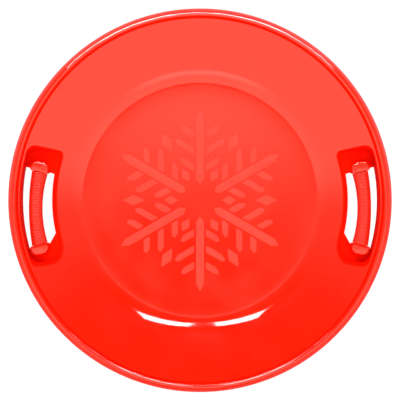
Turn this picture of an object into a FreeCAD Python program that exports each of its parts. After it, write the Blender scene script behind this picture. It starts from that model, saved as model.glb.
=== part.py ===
import FreeCAD, Part
import math
import os

# Saucer sled: a round moulded dish with a handle sunk in a pocket at its left and right.
# Millimetres. +X is the rider's right, +Y the front, +Z up. The origin is on the ground under
# the middle of the dish. The right handle is modelled, and the left one is its mirror image.

# Dish, measured inwards from its edge
disc_diameter = 600.0
wall = 3.2
side_band = 90.0  # width of the sloping side and the rim, seen from above
heel_band = 24.0  # width of the bend between base and side
crown_band = 32.0  # width of the base's slightly lifted edge
crown_slope = math.radians(1.5)
side_slope = math.radians(37.0)

# Rolled rim
rim_bead_inside = 0.8  # inside radius of the inner bend, from the step to the crest
rim_crest_inside = 0.4  # inside radius of the bend from the crest to the flank
rim_flank_slope = math.radians(42.0)
rim_flank_length = 6.55
rim_edge_inside = 1.4  # inside radius of the bend from the flank to the skirt
rim_skirt = 4.0  # straight drop at the edge
rim_step_slope = math.radians(58.0)
rim_step_length = 5.7
rim_groove_radius = 2.0

# Handle pockets: level-floored tubs sunk through the sloping side
pocket_inner_depth = 9.3  # floor below the side, at the foot of the inner wall
pocket_front_gap = 16.5  # free floor in front of the front post
pocket_rear_gap = 7.0  # free floor behind the rear post
pocket_rim_strip = 3.26  # strip of the side left between pocket and groove
pocket_outer_draft = math.radians(0.7)
pocket_inner_draft = math.radians(28.0)
pocket_front_draft = math.radians(9.0)
pocket_rear_draft = math.radians(12.0)
pocket_front_splay = math.radians(5.0)
pocket_front_inner_corner = 8.0
pocket_front_outer_corner = 14.0
pocket_rear_inner_corner = 26.0
pocket_rear_outer_corner = 12.0
pocket_floor_fillet = 1.2
pocket_lip_fillet = 2.5
pocket_inner_ledge = 3.0  # floor left between the inner wall and the opening
opening_corner_radius = 2.0
gusset_across = 13.0  # corner of the floor kept at the rear inner end of the opening
gusset_along = 14.0

# Handle, set a little behind the middle of the dish
handle_setback = 12.5
finger_gap_outer = 11.2
finger_gap_inner = 13.4
grip_length = 114.0
grip_bend_radius = 249.0
grip_width_middle = 21.5
grip_width_end = 25.3
grip_height = 17.0
grip_clearance = 14.0  # from the pocket's floor up to the grip
grip_top_radius = 8.0
grip_bottom_radius = 4.0

# Ribbed sleeve, which snaps over the spine from above
sleeve_wall = 2.8
sleeve_slot = 8.0  # width of the slot along its underside
rib_pitch = 4.4
rib_width = 2.2
rib_height = 0.4
sleeve_clearance = 0.15
sleeve_end_clearance = 0.3

# Posts
post_rise = 1.0  # how far a post's top stands above the grip
post_foot_width = 30.7
post_foot_depth = 18.0
post_foot_outer_corner = 12.0
post_foot_inner_corner = 13.0
post_side_taper = 1.0  # by which each side draws in towards the top
post_top_depth = 15.5
post_top_outer_corner = 10.0
post_top_inner_corner = 11.0
post_top_fillet = 3.0
post_corner_margin = 0.5  # by which a post's near corners are rounder than its top edge
post_overhang = 2.5  # how far a post reaches over the opening
post_wall_gap = 0.8  # from the rear post's foot to the pocket's outer wall
spine_embed = 4.0  # how far the spine reaches into each post

# Screws, two into each post from below
screw_shank_radius = 2.5
screw_grip_length = 18.0  # length of shank inside a post
screw_tip_length = 3.0
screw_head_radius = 5.0
screw_head_height = 3.0
screw_spacing = 16.0
screw_inset = 9.5  # from a post's near face to the screws
screw_hole_clearance = 0.3
screw_pilot_clearance = 0.05
screw_recess_length = 5.6
screw_recess_width = 1.2
screw_recess_depth = 1.6

# Smallest radius of a bend inside a wall, and the distance within which points are the same
least_radius = 0.3
near = 0.01

# Derived places
disc_radius = disc_diameter / 2
rim_bead_radius = rim_bead_inside + wall
rim_crest_radius = rim_crest_inside + wall
rim_edge_radius = rim_edge_inside + wall
cone_start_radius = disc_radius - side_band
base_edge_radius = cone_start_radius - heel_band
base_flat_radius = base_edge_radius - crown_band
flank_foot_radius = disc_radius - rim_edge_radius * (1 - math.sin(rim_flank_slope))
flank_top_radius = flank_foot_radius - rim_flank_length * math.cos(rim_flank_slope)
crest_radius = flank_top_radius - rim_crest_radius * math.sin(rim_flank_slope)
crown_bend = crown_band / math.sin(crown_slope)
heel_bend = heel_band / (math.sin(side_slope) - math.sin(crown_slope))

crown_end_height = wall + crown_bend * (1 - math.cos(crown_slope))
cone_start_height = crown_end_height + heel_bend * (math.cos(crown_slope) - math.cos(side_slope))
step_top_radius = crest_radius - rim_bead_radius * math.sin(rim_step_slope)
step_foot_radius = step_top_radius - rim_step_length * math.cos(rim_step_slope)
cone_end_radius = step_foot_radius - rim_groove_radius * (math.sin(rim_step_slope) - math.sin(side_slope))
cone_end_height = cone_start_height + (cone_end_radius - cone_start_radius) * math.tan(side_slope)
step_foot_height = cone_end_height + rim_groove_radius * (math.cos(side_slope) - math.cos(rim_step_slope))
step_top_height = step_foot_height + rim_step_length * math.sin(rim_step_slope)
crest_height = step_top_height + rim_bead_radius * (1 - math.cos(rim_step_slope))
flank_top_height = crest_height - rim_crest_radius * (1 - math.cos(rim_flank_slope))
flank_foot_height = flank_top_height - rim_flank_length * math.sin(rim_flank_slope)

pocket_outer_radius = cone_end_radius - pocket_rim_strip
handle_radius = pocket_outer_radius - finger_gap_outer - grip_width_middle / 2
opening_inner_radius = handle_radius - grip_width_middle / 2 - finger_gap_inner
pocket_inner_radius = opening_inner_radius - pocket_inner_ledge
handle_centre_x = handle_radius - grip_bend_radius
grip_half_angle = math.asin(grip_length / 2 / grip_bend_radius)
sleeve_half_angle = grip_half_angle - sleeve_end_clearance / grip_bend_radius
opening_half_angle = grip_half_angle + post_overhang / grip_bend_radius
post_near_corner = post_top_fillet + post_corner_margin

UP = FreeCAD.Vector(0, 0, 1)
ORIGIN = FreeCAD.Vector(0, 0, 0)


def upper_height(radius):
    """Height of the dish's upper face on its bend and sloping side."""
    if radius >= cone_start_radius:
        return cone_start_height + (radius - cone_start_radius) * math.tan(side_slope)
    centre_x = base_edge_radius - heel_bend * math.sin(crown_slope)
    centre_z = crown_end_height + heel_bend * math.cos(crown_slope)
    reach = min(heel_bend, max(0.0, radius - centre_x))
    return centre_z - math.sqrt(heel_bend ** 2 - reach ** 2)


# Heights, from the pocket's floor up
pocket_floor = upper_height(pocket_inner_radius) - pocket_inner_depth
ledge_underside = pocket_floor - wall
grip_bottom = pocket_floor + grip_clearance
grip_top = grip_bottom + grip_height
post_top = grip_top + post_rise


def bend_point(centre, radius, slope, hollow):
    """Point of a profile bend where the surface has this slope; hollow bends open upwards."""
    side = 1 if hollow else -1
    return FreeCAD.Vector(
        centre[0] + side * radius * math.sin(slope), 0, centre[1] - side * radius * math.cos(slope))


def bend(centre, radius, start_slope, end_slope, hollow):
    """Arc of the profile between two slopes."""
    middle_slope = (start_slope + end_slope) / 2
    return Part.Arc(
        bend_point(centre, radius, start_slope, hollow),
        bend_point(centre, radius, middle_slope, hollow),
        bend_point(centre, radius, end_slope, hollow)).toShape()


def straight(start, end):
    return Part.LineSegment(start, end).toShape()


def profile_edges(depth):
    """Edges of the dish's profile, from its axis to the rim's edge, this deep below the upper face."""
    crown_centre = (base_flat_radius, wall + crown_bend)
    heel_centre = (
        base_edge_radius - heel_bend * math.sin(crown_slope),
        crown_end_height + heel_bend * math.cos(crown_slope))
    groove_centre = (
        cone_end_radius - rim_groove_radius * math.sin(side_slope),
        cone_end_height + rim_groove_radius * math.cos(side_slope))
    bead_centre = (crest_radius, crest_height - rim_bead_radius)
    crest_centre = (crest_radius, crest_height - rim_crest_radius)
    edge_centre = (
        disc_radius - rim_edge_radius,
        flank_foot_height - rim_edge_radius * math.cos(rim_flank_slope))
    bends = [
        bend(crown_centre, crown_bend + depth, 0, crown_slope, True),
        bend(heel_centre, heel_bend + depth, crown_slope, side_slope, True),
        bend(groove_centre, rim_groove_radius + depth, side_slope, rim_step_slope, True),
        bend(bead_centre, rim_bead_radius - depth, rim_step_slope, 0, False),
        bend(crest_centre, rim_crest_radius - depth, 0, -rim_flank_slope, False),
        bend(edge_centre, rim_edge_radius - depth, -rim_flank_slope, -math.pi / 2, False)]
    crown, heel, groove, bead, crest, edge = bends
    axis_point = FreeCAD.Vector(0, 0, wall - depth)
    skirt_end = edge.lastVertex().Point - UP * rim_skirt
    return [
        straight(axis_point, crown.firstVertex().Point),
        crown,
        heel,
        straight(heel.lastVertex().Point, groove.firstVertex().Point),
        groove,
        straight(groove.lastVertex().Point, bead.firstVertex().Point),
        bead,
        crest,
        straight(crest.lastVertex().Point, edge.firstVertex().Point),
        edge,
        straight(edge.lastVertex().Point, skirt_end)]


def revolved(edges):
    """Full turn of a closed profile about the dish's axis."""
    face = Part.Face(Part.Wire(Part.__sortEdges__(edges)))
    return face.revolve(ORIGIN, UP, 360)


def make_dish():
    """Dish of even wall, with a rounded end to its rim."""
    upper = profile_edges(0)
    lower = profile_edges(wall)
    upper_end = upper[-1].lastVertex().Point
    lower_end = lower[-1].lastVertex().Point
    tip = (upper_end + lower_end) / 2 - UP * wall / 2
    rim_end = Part.Arc(upper_end, tip, lower_end).toShape()
    axis = straight(lower[0].firstVertex().Point, upper[0].firstVertex().Point)
    return revolved(upper + lower + [rim_end, axis])


def make_space_under_dish():
    """Everything below the dish's upper face, which trims the pockets' walls."""
    upper = profile_edges(0)
    deep = -wall
    rim_end = upper[-1].lastVertex().Point
    corner = FreeCAD.Vector(rim_end.x, 0, deep)
    foot = FreeCAD.Vector(0, 0, deep)
    return revolved(upper + [
        straight(rim_end, corner),
        straight(corner, foot),
        straight(foot, upper[0].firstVertex().Point)])


def block(low_corners, high_corners):
    """Solid with a flat four-cornered floor and top, and flat sides."""
    count = len(low_corners)
    faces = [
        Part.Face(Part.makePolygon(low_corners + low_corners[:1])),
        Part.Face(Part.makePolygon(high_corners + high_corners[:1]))]
    for i in range(count):
        j = (i + 1) % count
        loop = [low_corners[i], low_corners[j], high_corners[j], high_corners[i], low_corners[i]]
        faces.append(Part.Face(Part.makePolygon(loop)))
    solid = Part.Solid(Part.Shell(faces))
    if solid.Volume < 0:
        solid.reverse()
    return solid


def pocket_corner(form, end, side, least_rise):
    """Sharp upright edge of a pocket, furthest to the front or rear and to the rim or the axis."""

    def outwardness(edge):
        foot = min(edge.Vertexes, key=lambda vertex: vertex.Z)
        return end * foot.Y + side * math.hypot(foot.X, foot.Y)

    uprights = [edge for edge in form.Edges if edge.BoundBox.ZLength > least_rise]
    return max(uprights, key=outwardness)


def make_pocket_form(grow):
    """The pocket's hollow, or with its wall added all round, the outside of the tub."""
    low = pocket_floor - grow
    high = crest_height + wall

    def reach(draft, height):
        return (grow + (height - pocket_floor) * math.sin(draft)) / math.cos(draft)

    section = [
        FreeCAD.Vector(pocket_inner_radius - reach(pocket_inner_draft, low), 0, low),
        FreeCAD.Vector(pocket_outer_radius + reach(pocket_outer_draft, low), 0, low),
        FreeCAD.Vector(pocket_outer_radius + reach(pocket_outer_draft, high), 0, high),
        FreeCAD.Vector(pocket_inner_radius - reach(pocket_inner_draft, high), 0, high)]
    face = Part.Face(Part.makePolygon(section + section[:1]))
    sector = 90.0
    face.rotate(ORIGIN, UP, -sector / 2)
    ring = face.revolve(ORIGIN, UP, sector)

    near_x = cone_start_radius / 2
    far_x = disc_radius + side_band
    handle_half = grip_length / 2 + post_foot_depth

    def corners(height):
        front = handle_half + pocket_front_gap + reach(pocket_front_draft, height) - handle_setback
        rear = -handle_half - pocket_rear_gap - reach(pocket_rear_draft, height) - handle_setback
        near_splay = (near_x - handle_radius) * math.tan(pocket_front_splay)
        far_splay = (far_x - handle_radius) * math.tan(pocket_front_splay)
        return [
            FreeCAD.Vector(near_x, rear, height),
            FreeCAD.Vector(far_x, rear, height),
            FreeCAD.Vector(far_x, front + far_splay, height),
            FreeCAD.Vector(near_x, front + near_splay, height)]

    form = ring.common(block(corners(low), corners(high)))
    front, rear, outer, inner = 1, -1, 1, -1
    corner_radii = {
        (front, outer): pocket_front_outer_corner,
        (rear, outer): pocket_rear_outer_corner,
        (front, inner): pocket_front_inner_corner,
        (rear, inner): pocket_rear_inner_corner}
    for (end, side), radius in corner_radii.items():
        form = form.makeFillet(radius + grow, [pocket_corner(form, end, side, (high - low) / 2)])
    floor_edges = [edge for edge in form.Edges if edge.BoundBox.ZMax < low + near]
    return form.makeFillet(pocket_floor_fillet + grow, floor_edges)


def handle_point(radius, angle, height):
    """Point about the middle of the handle's bend; angle 0 is the middle of the grip."""
    return FreeCAD.Vector(
        handle_centre_x + radius * math.cos(angle),
        radius * math.sin(angle) - handle_setback,
        height)


def meet_circle(angle, radius):
    """Point where a line from the middle of the handle's bend meets a circle about the dish's axis."""
    ahead = handle_centre_x * math.cos(angle) - handle_setback * math.sin(angle)
    centre_squared = handle_centre_x ** 2 + handle_setback ** 2
    distance = -ahead + math.sqrt(ahead ** 2 - centre_squared + radius ** 2)
    return handle_point(distance, angle, 0)


def axis_arc(start, end, radius):
    """Arc about the dish's axis between two points at this radius."""
    middle = (start + end) / 2
    return Part.Arc(start, middle * (radius / middle.Length), end).toShape()


def make_opening():
    """Opening through the pocket's floor under the grip, with one corner left as a gusset."""
    front_outer = meet_circle(opening_half_angle, pocket_outer_radius)
    front_inner = meet_circle(opening_half_angle, opening_inner_radius)
    rear_outer = meet_circle(-opening_half_angle, pocket_outer_radius)
    rear_inner = meet_circle(-opening_half_angle, opening_inner_radius)
    across = (rear_outer - rear_inner).normalize()
    gusset_end = rear_inner + across * gusset_across
    turn = math.degrees(gusset_along / opening_inner_radius)
    gusset_start = FreeCAD.Rotation(UP, turn).multVec(rear_inner)
    outline = Part.Wire([
        axis_arc(rear_outer, front_outer, pocket_outer_radius),
        straight(front_outer, front_inner),
        axis_arc(front_inner, gusset_start, opening_inner_radius),
        straight(gusset_start, gusset_end),
        straight(gusset_end, rear_outer)])
    cutter = Part.Face(outline).extrude(UP * (2 * wall + pocket_floor_fillet))
    cutter.translate(UP * (ledge_underside - wall))
    uprights = [edge for edge in cutter.Edges if edge.BoundBox.ZLength > wall]
    return cutter.makeFillet(opening_corner_radius, uprights)


def mirrored(shape):
    return shape.mirror(ORIGIN, FreeCAD.Vector(1, 0, 0))


def both_sides(shape):
    return [shape, mirrored(shape)]


def post_frame(end):
    """Near face of a post: where the grip meets it, the way to the rim and the way off the grip."""
    angle = end * grip_half_angle
    across = FreeCAD.Vector(math.cos(angle), math.sin(angle), 0)
    away = FreeCAD.Vector(-math.sin(angle), math.cos(angle), 0) * end
    return handle_point(grip_bend_radius, angle, 0), across, away


def post_reach():
    """How far a post's foot reaches to the rim, so that the rear one just clears the pocket's wall."""
    start, across, away = post_frame(-1)
    start = start + away * (post_foot_depth - post_foot_outer_corner)
    limit = pocket_outer_radius - pocket_floor_fillet - post_wall_gap
    ahead = start.dot(across)
    return math.sqrt(ahead ** 2 - start.dot(start) + limit ** 2) - ahead


def screw_places():
    """Axes of the right handle's screws, at height 0."""
    places = []
    for end in (-1, 1):
        start, across, away = post_frame(end)
        middle = start + away * screw_inset + across * (post_reach() - post_foot_width / 2)
        for side in (-1, 1):
            places.append(middle + across * (side * screw_spacing / 2))
    return places


def make_shell():
    """Dish, tubs and openings in one moulding, with rounded lips to the pockets."""
    space_under = make_space_under_dish()
    tub = make_pocket_form(wall).common(space_under)
    shell = make_dish().fuse(both_sides(tub))
    hole_radius = screw_shank_radius + screw_hole_clearance
    below = UP * (ledge_underside - wall)
    holes = Part.Compound([
        Part.makeCylinder(hole_radius, 3 * wall, place + below) for place in screw_places()])
    cuts = both_sides(make_pocket_form(0)) + both_sides(make_opening()) + both_sides(holes)
    shell = shell.cut(cuts).removeSplitter()
    return shell.makeFillet(pocket_lip_fillet, lip_edges(shell))


def lip_edges(shell):
    """Edges where the pockets' walls come out of the dish's upper face."""
    edges = []
    for edge in shell.Edges:
        middle = edge.valueAt((edge.FirstParameter + edge.LastParameter) / 2)
        radius = math.hypot(middle.x, middle.y)
        in_side = base_edge_radius < radius < cone_end_radius - rim_groove_radius
        on_face = abs(middle.z - upper_height(radius)) < near
        whole_ring = edge.BoundBox.YLength > disc_radius
        if in_side and on_face and not whole_ring:
            edges.append(edge)
    return edges


def grip_half_width(angle):
    """Half the grip's width, which grows towards its ends."""
    growth = (grip_width_end - grip_width_middle) * (angle / grip_half_angle) ** 2
    return (grip_width_middle + growth) / 2


def make_grip_form(inset, half_angle):
    """Bent bar with rounded long edges, this far inside the grip's outline all round."""
    low = grip_bottom + inset
    high = grip_top - inset
    top_radius = max(grip_top_radius - inset, least_radius)
    bottom_radius = max(grip_bottom_radius - inset, least_radius)

    def side_arc(side):
        points = []
        for angle in (-half_angle, 0, half_angle):
            offset = side * (grip_half_width(angle) - inset)
            points.append(handle_point(grip_bend_radius + offset, angle, low))
        return Part.Arc(*points).toShape()

    outer = side_arc(1)
    inner = side_arc(-1)
    outline = Part.Wire([
        outer,
        straight(outer.lastVertex().Point, inner.lastVertex().Point),
        inner,
        straight(inner.firstVertex().Point, outer.firstVertex().Point)])
    bar = Part.Face(outline).extrude(UP * (high - low))

    def long_edges(height):
        return [
            edge for edge in bar.Edges
            if edge.Length > grip_length / 2 and abs(edge.CenterOfMass.z - height) < near]

    bar = bar.makeFillet(top_radius, long_edges(high))
    return bar.makeFillet(bottom_radius, long_edges(low))


def make_grip_sleeve():
    """C-shaped sleeve with ribs across its top and sides."""
    full = make_grip_form(0, sleeve_half_angle)
    between_ribs = make_grip_form(rib_height, sleeve_half_angle)
    pitch_angle = rib_pitch / grip_bend_radius
    count = int(2 * sleeve_half_angle / pitch_angle)
    slabs = []
    for i in range(count):
        angle = (i - (count - 1) / 2) * pitch_angle
        slab = Part.makeBox(
            2 * grip_width_end, rib_width, post_top - pocket_floor,
            FreeCAD.Vector(grip_bend_radius - grip_width_end, -rib_width / 2, pocket_floor))
        slab.rotate(ORIGIN, UP, math.degrees(angle))
        slab.translate(FreeCAD.Vector(handle_centre_x, -handle_setback, 0))
        slabs.append(slab)
    ribs = full.common(Part.Compound(slabs))
    hollow = make_grip_form(sleeve_wall, grip_half_angle)
    return between_ribs.fuse(ribs.Solids).cut([hollow, make_slot()]).removeSplitter()


def make_slot():
    """Slot along the sleeve's underside, which lets it spring over the spine."""
    inner = grip_bend_radius - sleeve_slot / 2
    outer = grip_bend_radius + sleeve_slot / 2
    height = 2 * sleeve_wall
    ring = Part.makeCylinder(outer, height).cut(Part.makeCylinder(inner, height))
    ring.translate(FreeCAD.Vector(handle_centre_x, -handle_setback, grip_bottom - sleeve_wall / 2))
    return ring


def post_outline(end, taper, depth, outer_corner, inner_corner, height):
    """Rounded outline of a post at this height, its sides drawn in by a taper."""
    start, across, away = post_frame(end)
    middle = start + across * (post_reach() - post_foot_width / 2)
    half = post_foot_width / 2 - taper
    diagonal = 1 - math.sqrt(0.5)

    def at(u, v):
        return middle + across * u + away * v + UP * height

    def corner(u_side, radius, far):
        u = u_side * half
        v = depth if far else 0
        back = -1 if far else 1
        along_u = at(u - u_side * radius, v)
        along_v = at(u, v + back * radius)
        bulge = at(u - u_side * radius * diagonal, v + back * radius * diagonal)
        return along_u, bulge, along_v

    near_inner = corner(-1, post_near_corner, False)
    far_inner = corner(-1, inner_corner, True)
    far_outer = corner(1, outer_corner, True)
    near_outer = corner(1, post_near_corner, False)
    return Part.Wire([
        Part.Arc(*near_inner).toShape(),
        straight(near_inner[2], far_inner[2]),
        Part.Arc(far_inner[2], far_inner[1], far_inner[0]).toShape(),
        straight(far_inner[0], far_outer[0]),
        Part.Arc(*far_outer).toShape(),
        straight(far_outer[2], near_outer[2]),
        Part.Arc(near_outer[2], near_outer[1], near_outer[0]).toShape(),
        straight(near_outer[0], near_inner[0])])


def make_post(end):
    """Post that tapers from its foot and is rounded over at the top."""
    foot = post_outline(
        end, 0, post_foot_depth, post_foot_outer_corner, post_foot_inner_corner, pocket_floor)
    top = post_outline(
        end, post_side_taper, post_top_depth, post_top_outer_corner, post_top_inner_corner, post_top)
    post = Part.makeLoft([foot, top], True, True)
    top_edges = [edge for edge in post.Edges if edge.BoundBox.ZMin > post_top - near]
    return post.makeFillet(post_top_fillet, top_edges)


def make_handle_bridge():
    """Two posts and the spine between them, with pilot holes for the screws."""
    spine_half_angle = grip_half_angle + spine_embed / grip_bend_radius
    spine = make_grip_form(sleeve_wall + sleeve_clearance, spine_half_angle)
    bridge = spine.fuse([make_post(-1), make_post(1)])
    pilots = []
    for place in screw_places():
        start = place + UP * ledge_underside
        radius = screw_shank_radius + screw_pilot_clearance
        pilots.append(Part.makeCylinder(radius, wall + screw_grip_length + screw_tip_length, start))
    return bridge.cut(pilots).removeSplitter()


def make_screw(place):
    """Domed self-tapping screw, its head under the pocket's floor."""
    head_low = -screw_head_height
    shank_high = wall + screw_grip_length
    rim = screw_head_height / 3
    bulge = screw_head_radius * math.sqrt(0.5)
    points = [
        FreeCAD.Vector(0, 0, head_low),
        FreeCAD.Vector(bulge, 0, head_low + (screw_head_height - rim) * (1 - math.sqrt(0.5))),
        FreeCAD.Vector(screw_head_radius, 0, -rim),
        FreeCAD.Vector(screw_head_radius, 0, 0),
        FreeCAD.Vector(screw_shank_radius, 0, 0),
        FreeCAD.Vector(screw_shank_radius, 0, shank_high),
        FreeCAD.Vector(0, 0, shank_high + screw_tip_length)]
    outline = [Part.Arc(points[0], points[1], points[2]).toShape()]
    for start, end in zip(points[2:], points[3:] + points[:1]):
        outline.append(straight(start, end))
    screw = Part.Face(Part.Wire(outline)).revolve(ORIGIN, UP, 360)
    arm = Part.makeBox(
        screw_recess_length, screw_recess_width, screw_recess_depth,
        FreeCAD.Vector(-screw_recess_length / 2, -screw_recess_width / 2, head_low))
    cross = arm.copy()
    cross.rotate(ORIGIN, UP, 90)
    screw = screw.cut([arm, cross])
    screw.translate(place + UP * ledge_underside)
    return screw


def main():
    bridge = make_handle_bridge()
    sleeve = make_grip_sleeve()
    screws = Part.Compound([make_screw(place) for place in screw_places()])
    nodes = {
        "saucer_shell": make_shell(),
        "right_handle_bridge": bridge,
        "left_handle_bridge": mirrored(bridge),
        "right_grip_sleeve": sleeve,
        "left_grip_sleeve": mirrored(sleeve),
        "right_handle_screws": screws,
        "left_handle_screws": mirrored(screws)}
    os.makedirs("parts", exist_ok=True)
    for name, shape in nodes.items():
        shape.exportStep("parts/" + name + ".step")
        print(name, "solids", len(shape.Solids), "valid", shape.isValid(), "volume", round(shape.Volume))


main()
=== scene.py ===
import math

import bmesh
import bpy
import numpy as np
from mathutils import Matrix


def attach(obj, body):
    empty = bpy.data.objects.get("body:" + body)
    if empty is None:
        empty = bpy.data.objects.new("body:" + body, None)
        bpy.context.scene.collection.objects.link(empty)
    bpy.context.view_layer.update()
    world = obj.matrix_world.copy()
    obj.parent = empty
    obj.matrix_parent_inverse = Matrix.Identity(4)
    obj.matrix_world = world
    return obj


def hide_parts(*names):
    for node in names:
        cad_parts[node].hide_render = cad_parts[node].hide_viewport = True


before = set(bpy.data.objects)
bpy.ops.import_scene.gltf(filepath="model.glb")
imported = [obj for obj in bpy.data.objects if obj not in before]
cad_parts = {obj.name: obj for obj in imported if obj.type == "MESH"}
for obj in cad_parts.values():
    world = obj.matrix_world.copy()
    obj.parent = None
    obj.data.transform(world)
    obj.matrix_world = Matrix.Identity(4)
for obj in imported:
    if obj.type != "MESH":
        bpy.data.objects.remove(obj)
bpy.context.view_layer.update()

# Saucer sled: a red moulded dish with a ribbed hand grip sunk in a pocket on each side.
# Metres. +X is the rider's right, +Y the front and the top of the picture, +Z up.

MM = 0.001

# Dish
DISC_RADIUS = 300 * MM
WALL = 3.2 * MM
SIDE_BAND = 90 * MM
HEEL_BAND = 24 * MM
CROWN_BAND = 32 * MM
CROWN_SLOPE = math.radians(1.5)
SIDE_SLOPE = math.radians(37)

# Rolled rim
RIM_BEAD = 0.8 * MM + WALL
RIM_CREST = 0.4 * MM + WALL
RIM_FLANK_SLOPE = math.radians(42)
RIM_FLANK = 6.55 * MM
RIM_EDGE = 1.4 * MM + WALL
RIM_SKIRT = 4 * MM
RIM_STEP_SLOPE = math.radians(58)
RIM_STEP = 5.7 * MM
RIM_GROOVE = 2 * MM

# Pockets
POCKET_DEPTH = 9.3 * MM
POCKET_FRONT_GAP = 16.5 * MM
POCKET_REAR_GAP = 7 * MM
POCKET_RIM_STRIP = 3.26 * MM
POCKET_OUTER_DRAFT = math.radians(0.7)
POCKET_INNER_DRAFT = math.radians(28)
POCKET_FRONT_DRAFT = math.radians(9)
POCKET_REAR_DRAFT = math.radians(12)
POCKET_FRONT_SPLAY = math.radians(5)
FRONT_INNER_CORNER = 8 * MM
FRONT_OUTER_CORNER = 14 * MM
REAR_INNER_CORNER = 26 * MM
REAR_OUTER_CORNER = 12 * MM
FLOOR_FILLET = 1.2 * MM
LIP_FILLET = 2.5 * MM
INNER_LEDGE = 3 * MM
OPENING_CORNER = 2 * MM
OPENING_CORNER_CUT = 0.4 * OPENING_CORNER  # taken off each side of a corner
GUSSET_ACROSS = 13 * MM
GUSSET_ALONG = 14 * MM

# Handles
HANDLE_SETBACK = 12.5 * MM
FINGER_GAP_OUTER = 11.2 * MM
FINGER_GAP_INNER = 13.4 * MM
GRIP_LENGTH = 114 * MM
GRIP_BEND = 249 * MM
GRIP_WIDTH_MIDDLE = 21.5 * MM
GRIP_WIDTH_END = 25.3 * MM
GRIP_HEIGHT = 17 * MM
GRIP_CLEARANCE = 14 * MM
GRIP_TOP_RADIUS = 8 * MM
GRIP_BOTTOM_RADIUS = 4 * MM
GRIP_LEAST_RADIUS = 0.3 * MM  # of a corner inside the grip's wall
SLEEVE_WALL = 2.8 * MM
SLEEVE_SLOT = 8 * MM
SLEEVE_CLEARANCE = 0.15 * MM
SLEEVE_END_CLEARANCE = 0.3 * MM
RIB_PITCH = 4.4 * MM
RIB_HEIGHT = 0.4 * MM
RIB_WIDTH = 2.2 * MM
RIB_EDGE = 0.25 * MM
POST_RISE = 1 * MM
POST_WIDTH = 30.7 * MM
POST_DEPTH = 18 * MM
POST_OUTER_CORNER = 12 * MM
POST_INNER_CORNER = 13 * MM
POST_SIDE_TAPER = 1 * MM
POST_TOP_DEPTH = 15.5 * MM
POST_TOP_OUTER_CORNER = 10 * MM
POST_TOP_INNER_CORNER = 11 * MM
POST_TOP_FILLET = 3 * MM
POST_NEAR_CORNER = 3.5 * MM
POST_OVERHANG = 2.5 * MM
POST_WALL_GAP = 0.8 * MM
SPINE_EMBED = 1 * MM

# Screws
SCREW_HEAD_RADIUS = 5 * MM
SCREW_HEAD_HEIGHT = 3 * MM
SCREW_SPACING = 16 * MM
SCREW_INSET = 9.5 * MM
SCREW_SHANK_RADIUS = 2.5 * MM
SCREW_SHANK_LENGTH = 21.2 * MM
SCREW_RECESS_LENGTH = 5.6 * MM
SCREW_RECESS_WIDTH = 1.2 * MM
SCREW_RECESS_DEPTH = 1.3 * MM
SCREW_RECESS_TAPER = 0.4  # share of its depth that the recess loses towards its ends
SCREW_DOME_HEIGHT = 2 * MM
SCREW_DOME_FULLNESS = 0.98  # 1 would make it half an ellipse
SCREW_SEED = 3

# Raised snowflake: the section of a plate
RELIEF_SECTION = ((0, -0.1 * MM), (0.245 * MM, 0.375 * MM), (0.56 * MM, 0.5 * MM))  # inset and height
RELIEF_CORNER = 1.6 * MM

# Raised snowflake: outlines in plan, in millimetres and radians
RELIEF_ARMS = 6
RELIEF_ARM_HALF = 6.5
RELIEF_ARM_STOPS = (26, 34, 134, 146)  # inner tip, inner shoulder, outer shoulder, outer tip
RELIEF_GAP = 3.0
RELIEF_BRANCH_WIDTH = 10.0
RELIEF_BRANCH_POINT = 6
RELIEF_BRANCH_LEAN = math.radians(60)
RELIEF_BRANCHES = ((46, 20), (72, 30), (98, 19))  # place along the arm and length
RELIEF_BETWEEN = ((34, 58, 15), (88, 124, 17))  # start, end and width of the diamonds between arms

# Finishes: two tones and the roughness at each, strength and distance of the bump, scales of the moulded
# surface, weight and roughness of the coat
FINISHES = {
    "dish_plastic": dict(
        dark=(0.9, 0.0105, 0.0012), light=(0.94, 0.0135, 0.0018), rough=(0.06, 0.12),
        bump=(0.012, 0.3 * MM), scales=(16, 34, 1400, 0.05), coat=(1.0, 0.03), ior=1.5),
    "pocket_plastic": dict(
        dark=(0.9, 0.007, 0.0009), light=(0.94, 0.009, 0.0012), rough=(0.4, 0.5),
        bump=(0.05, 0.3 * MM), scales=(16, 34, 1400, 0.05), coat=(0, 0.1), ior=1.02),
    "handle_plastic": dict(
        dark=(0.84, 0.011, 0.0015), light=(0.9, 0.017, 0.0025), rough=(0.16, 0.26),
        bump=(0.06, 0.2 * MM), scales=(60, 120, 1800, 0.12), coat=(1.0, 0.03), ior=1.36),
    "grip_plastic": dict(
        dark=(0.82, 0.012, 0.0015), light=(0.9, 0.019, 0.0025), rough=(0.36, 0.5),
        bump=(0.2, 0.15 * MM), scales=(70, 200, 2400, 0.3), coat=(0.1, 0.25), ior=1.38),
    "relief_plastic": dict(
        dark=(0.88, 0.04, 0.024), light=(0.92, 0.05, 0.032), rough=(0.5, 0.6),
        bump=(0.2, 0.1 * MM), scales=(30, 300, 3000, 0.5), coat=(0, 0.2), ior=1.35),
    "screw_steel": dict(
        dark=(0.52, 0.53, 0.54), light=(0.7, 0.71, 0.72), rough=(0.25, 0.42),
        bump=(0.25, 0.05 * MM), scales=(90, 300, 2600, 0.6), coat=(0, 0.03), ior=1.5)}
SURFACE_SCALES = ("Tone Scale", "Ripple Scale", "Grain Scale", "Grain Share")
TONE_SPAN = (0.3, 0.7)  # where in the tone pattern's range the two tones lie
POST_COAT_IOR = 1.62
FLANK_LIMIT = 0.3  # faces that point up less than this are flanks
NEAR_EDGE_LIMIT = 0.2  # faces that point to the front more than this, on a rear post, are near edges
POCKET_SHARE = "pocket_share"  # on each point: 1 inside a pocket, 0 on the dish
POCKET_SHARE_LEAST = 0.1
GROOVE_SHARE = "groove_share"  # on each point: 1 between a grip's ribs, 0 on them
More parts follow.
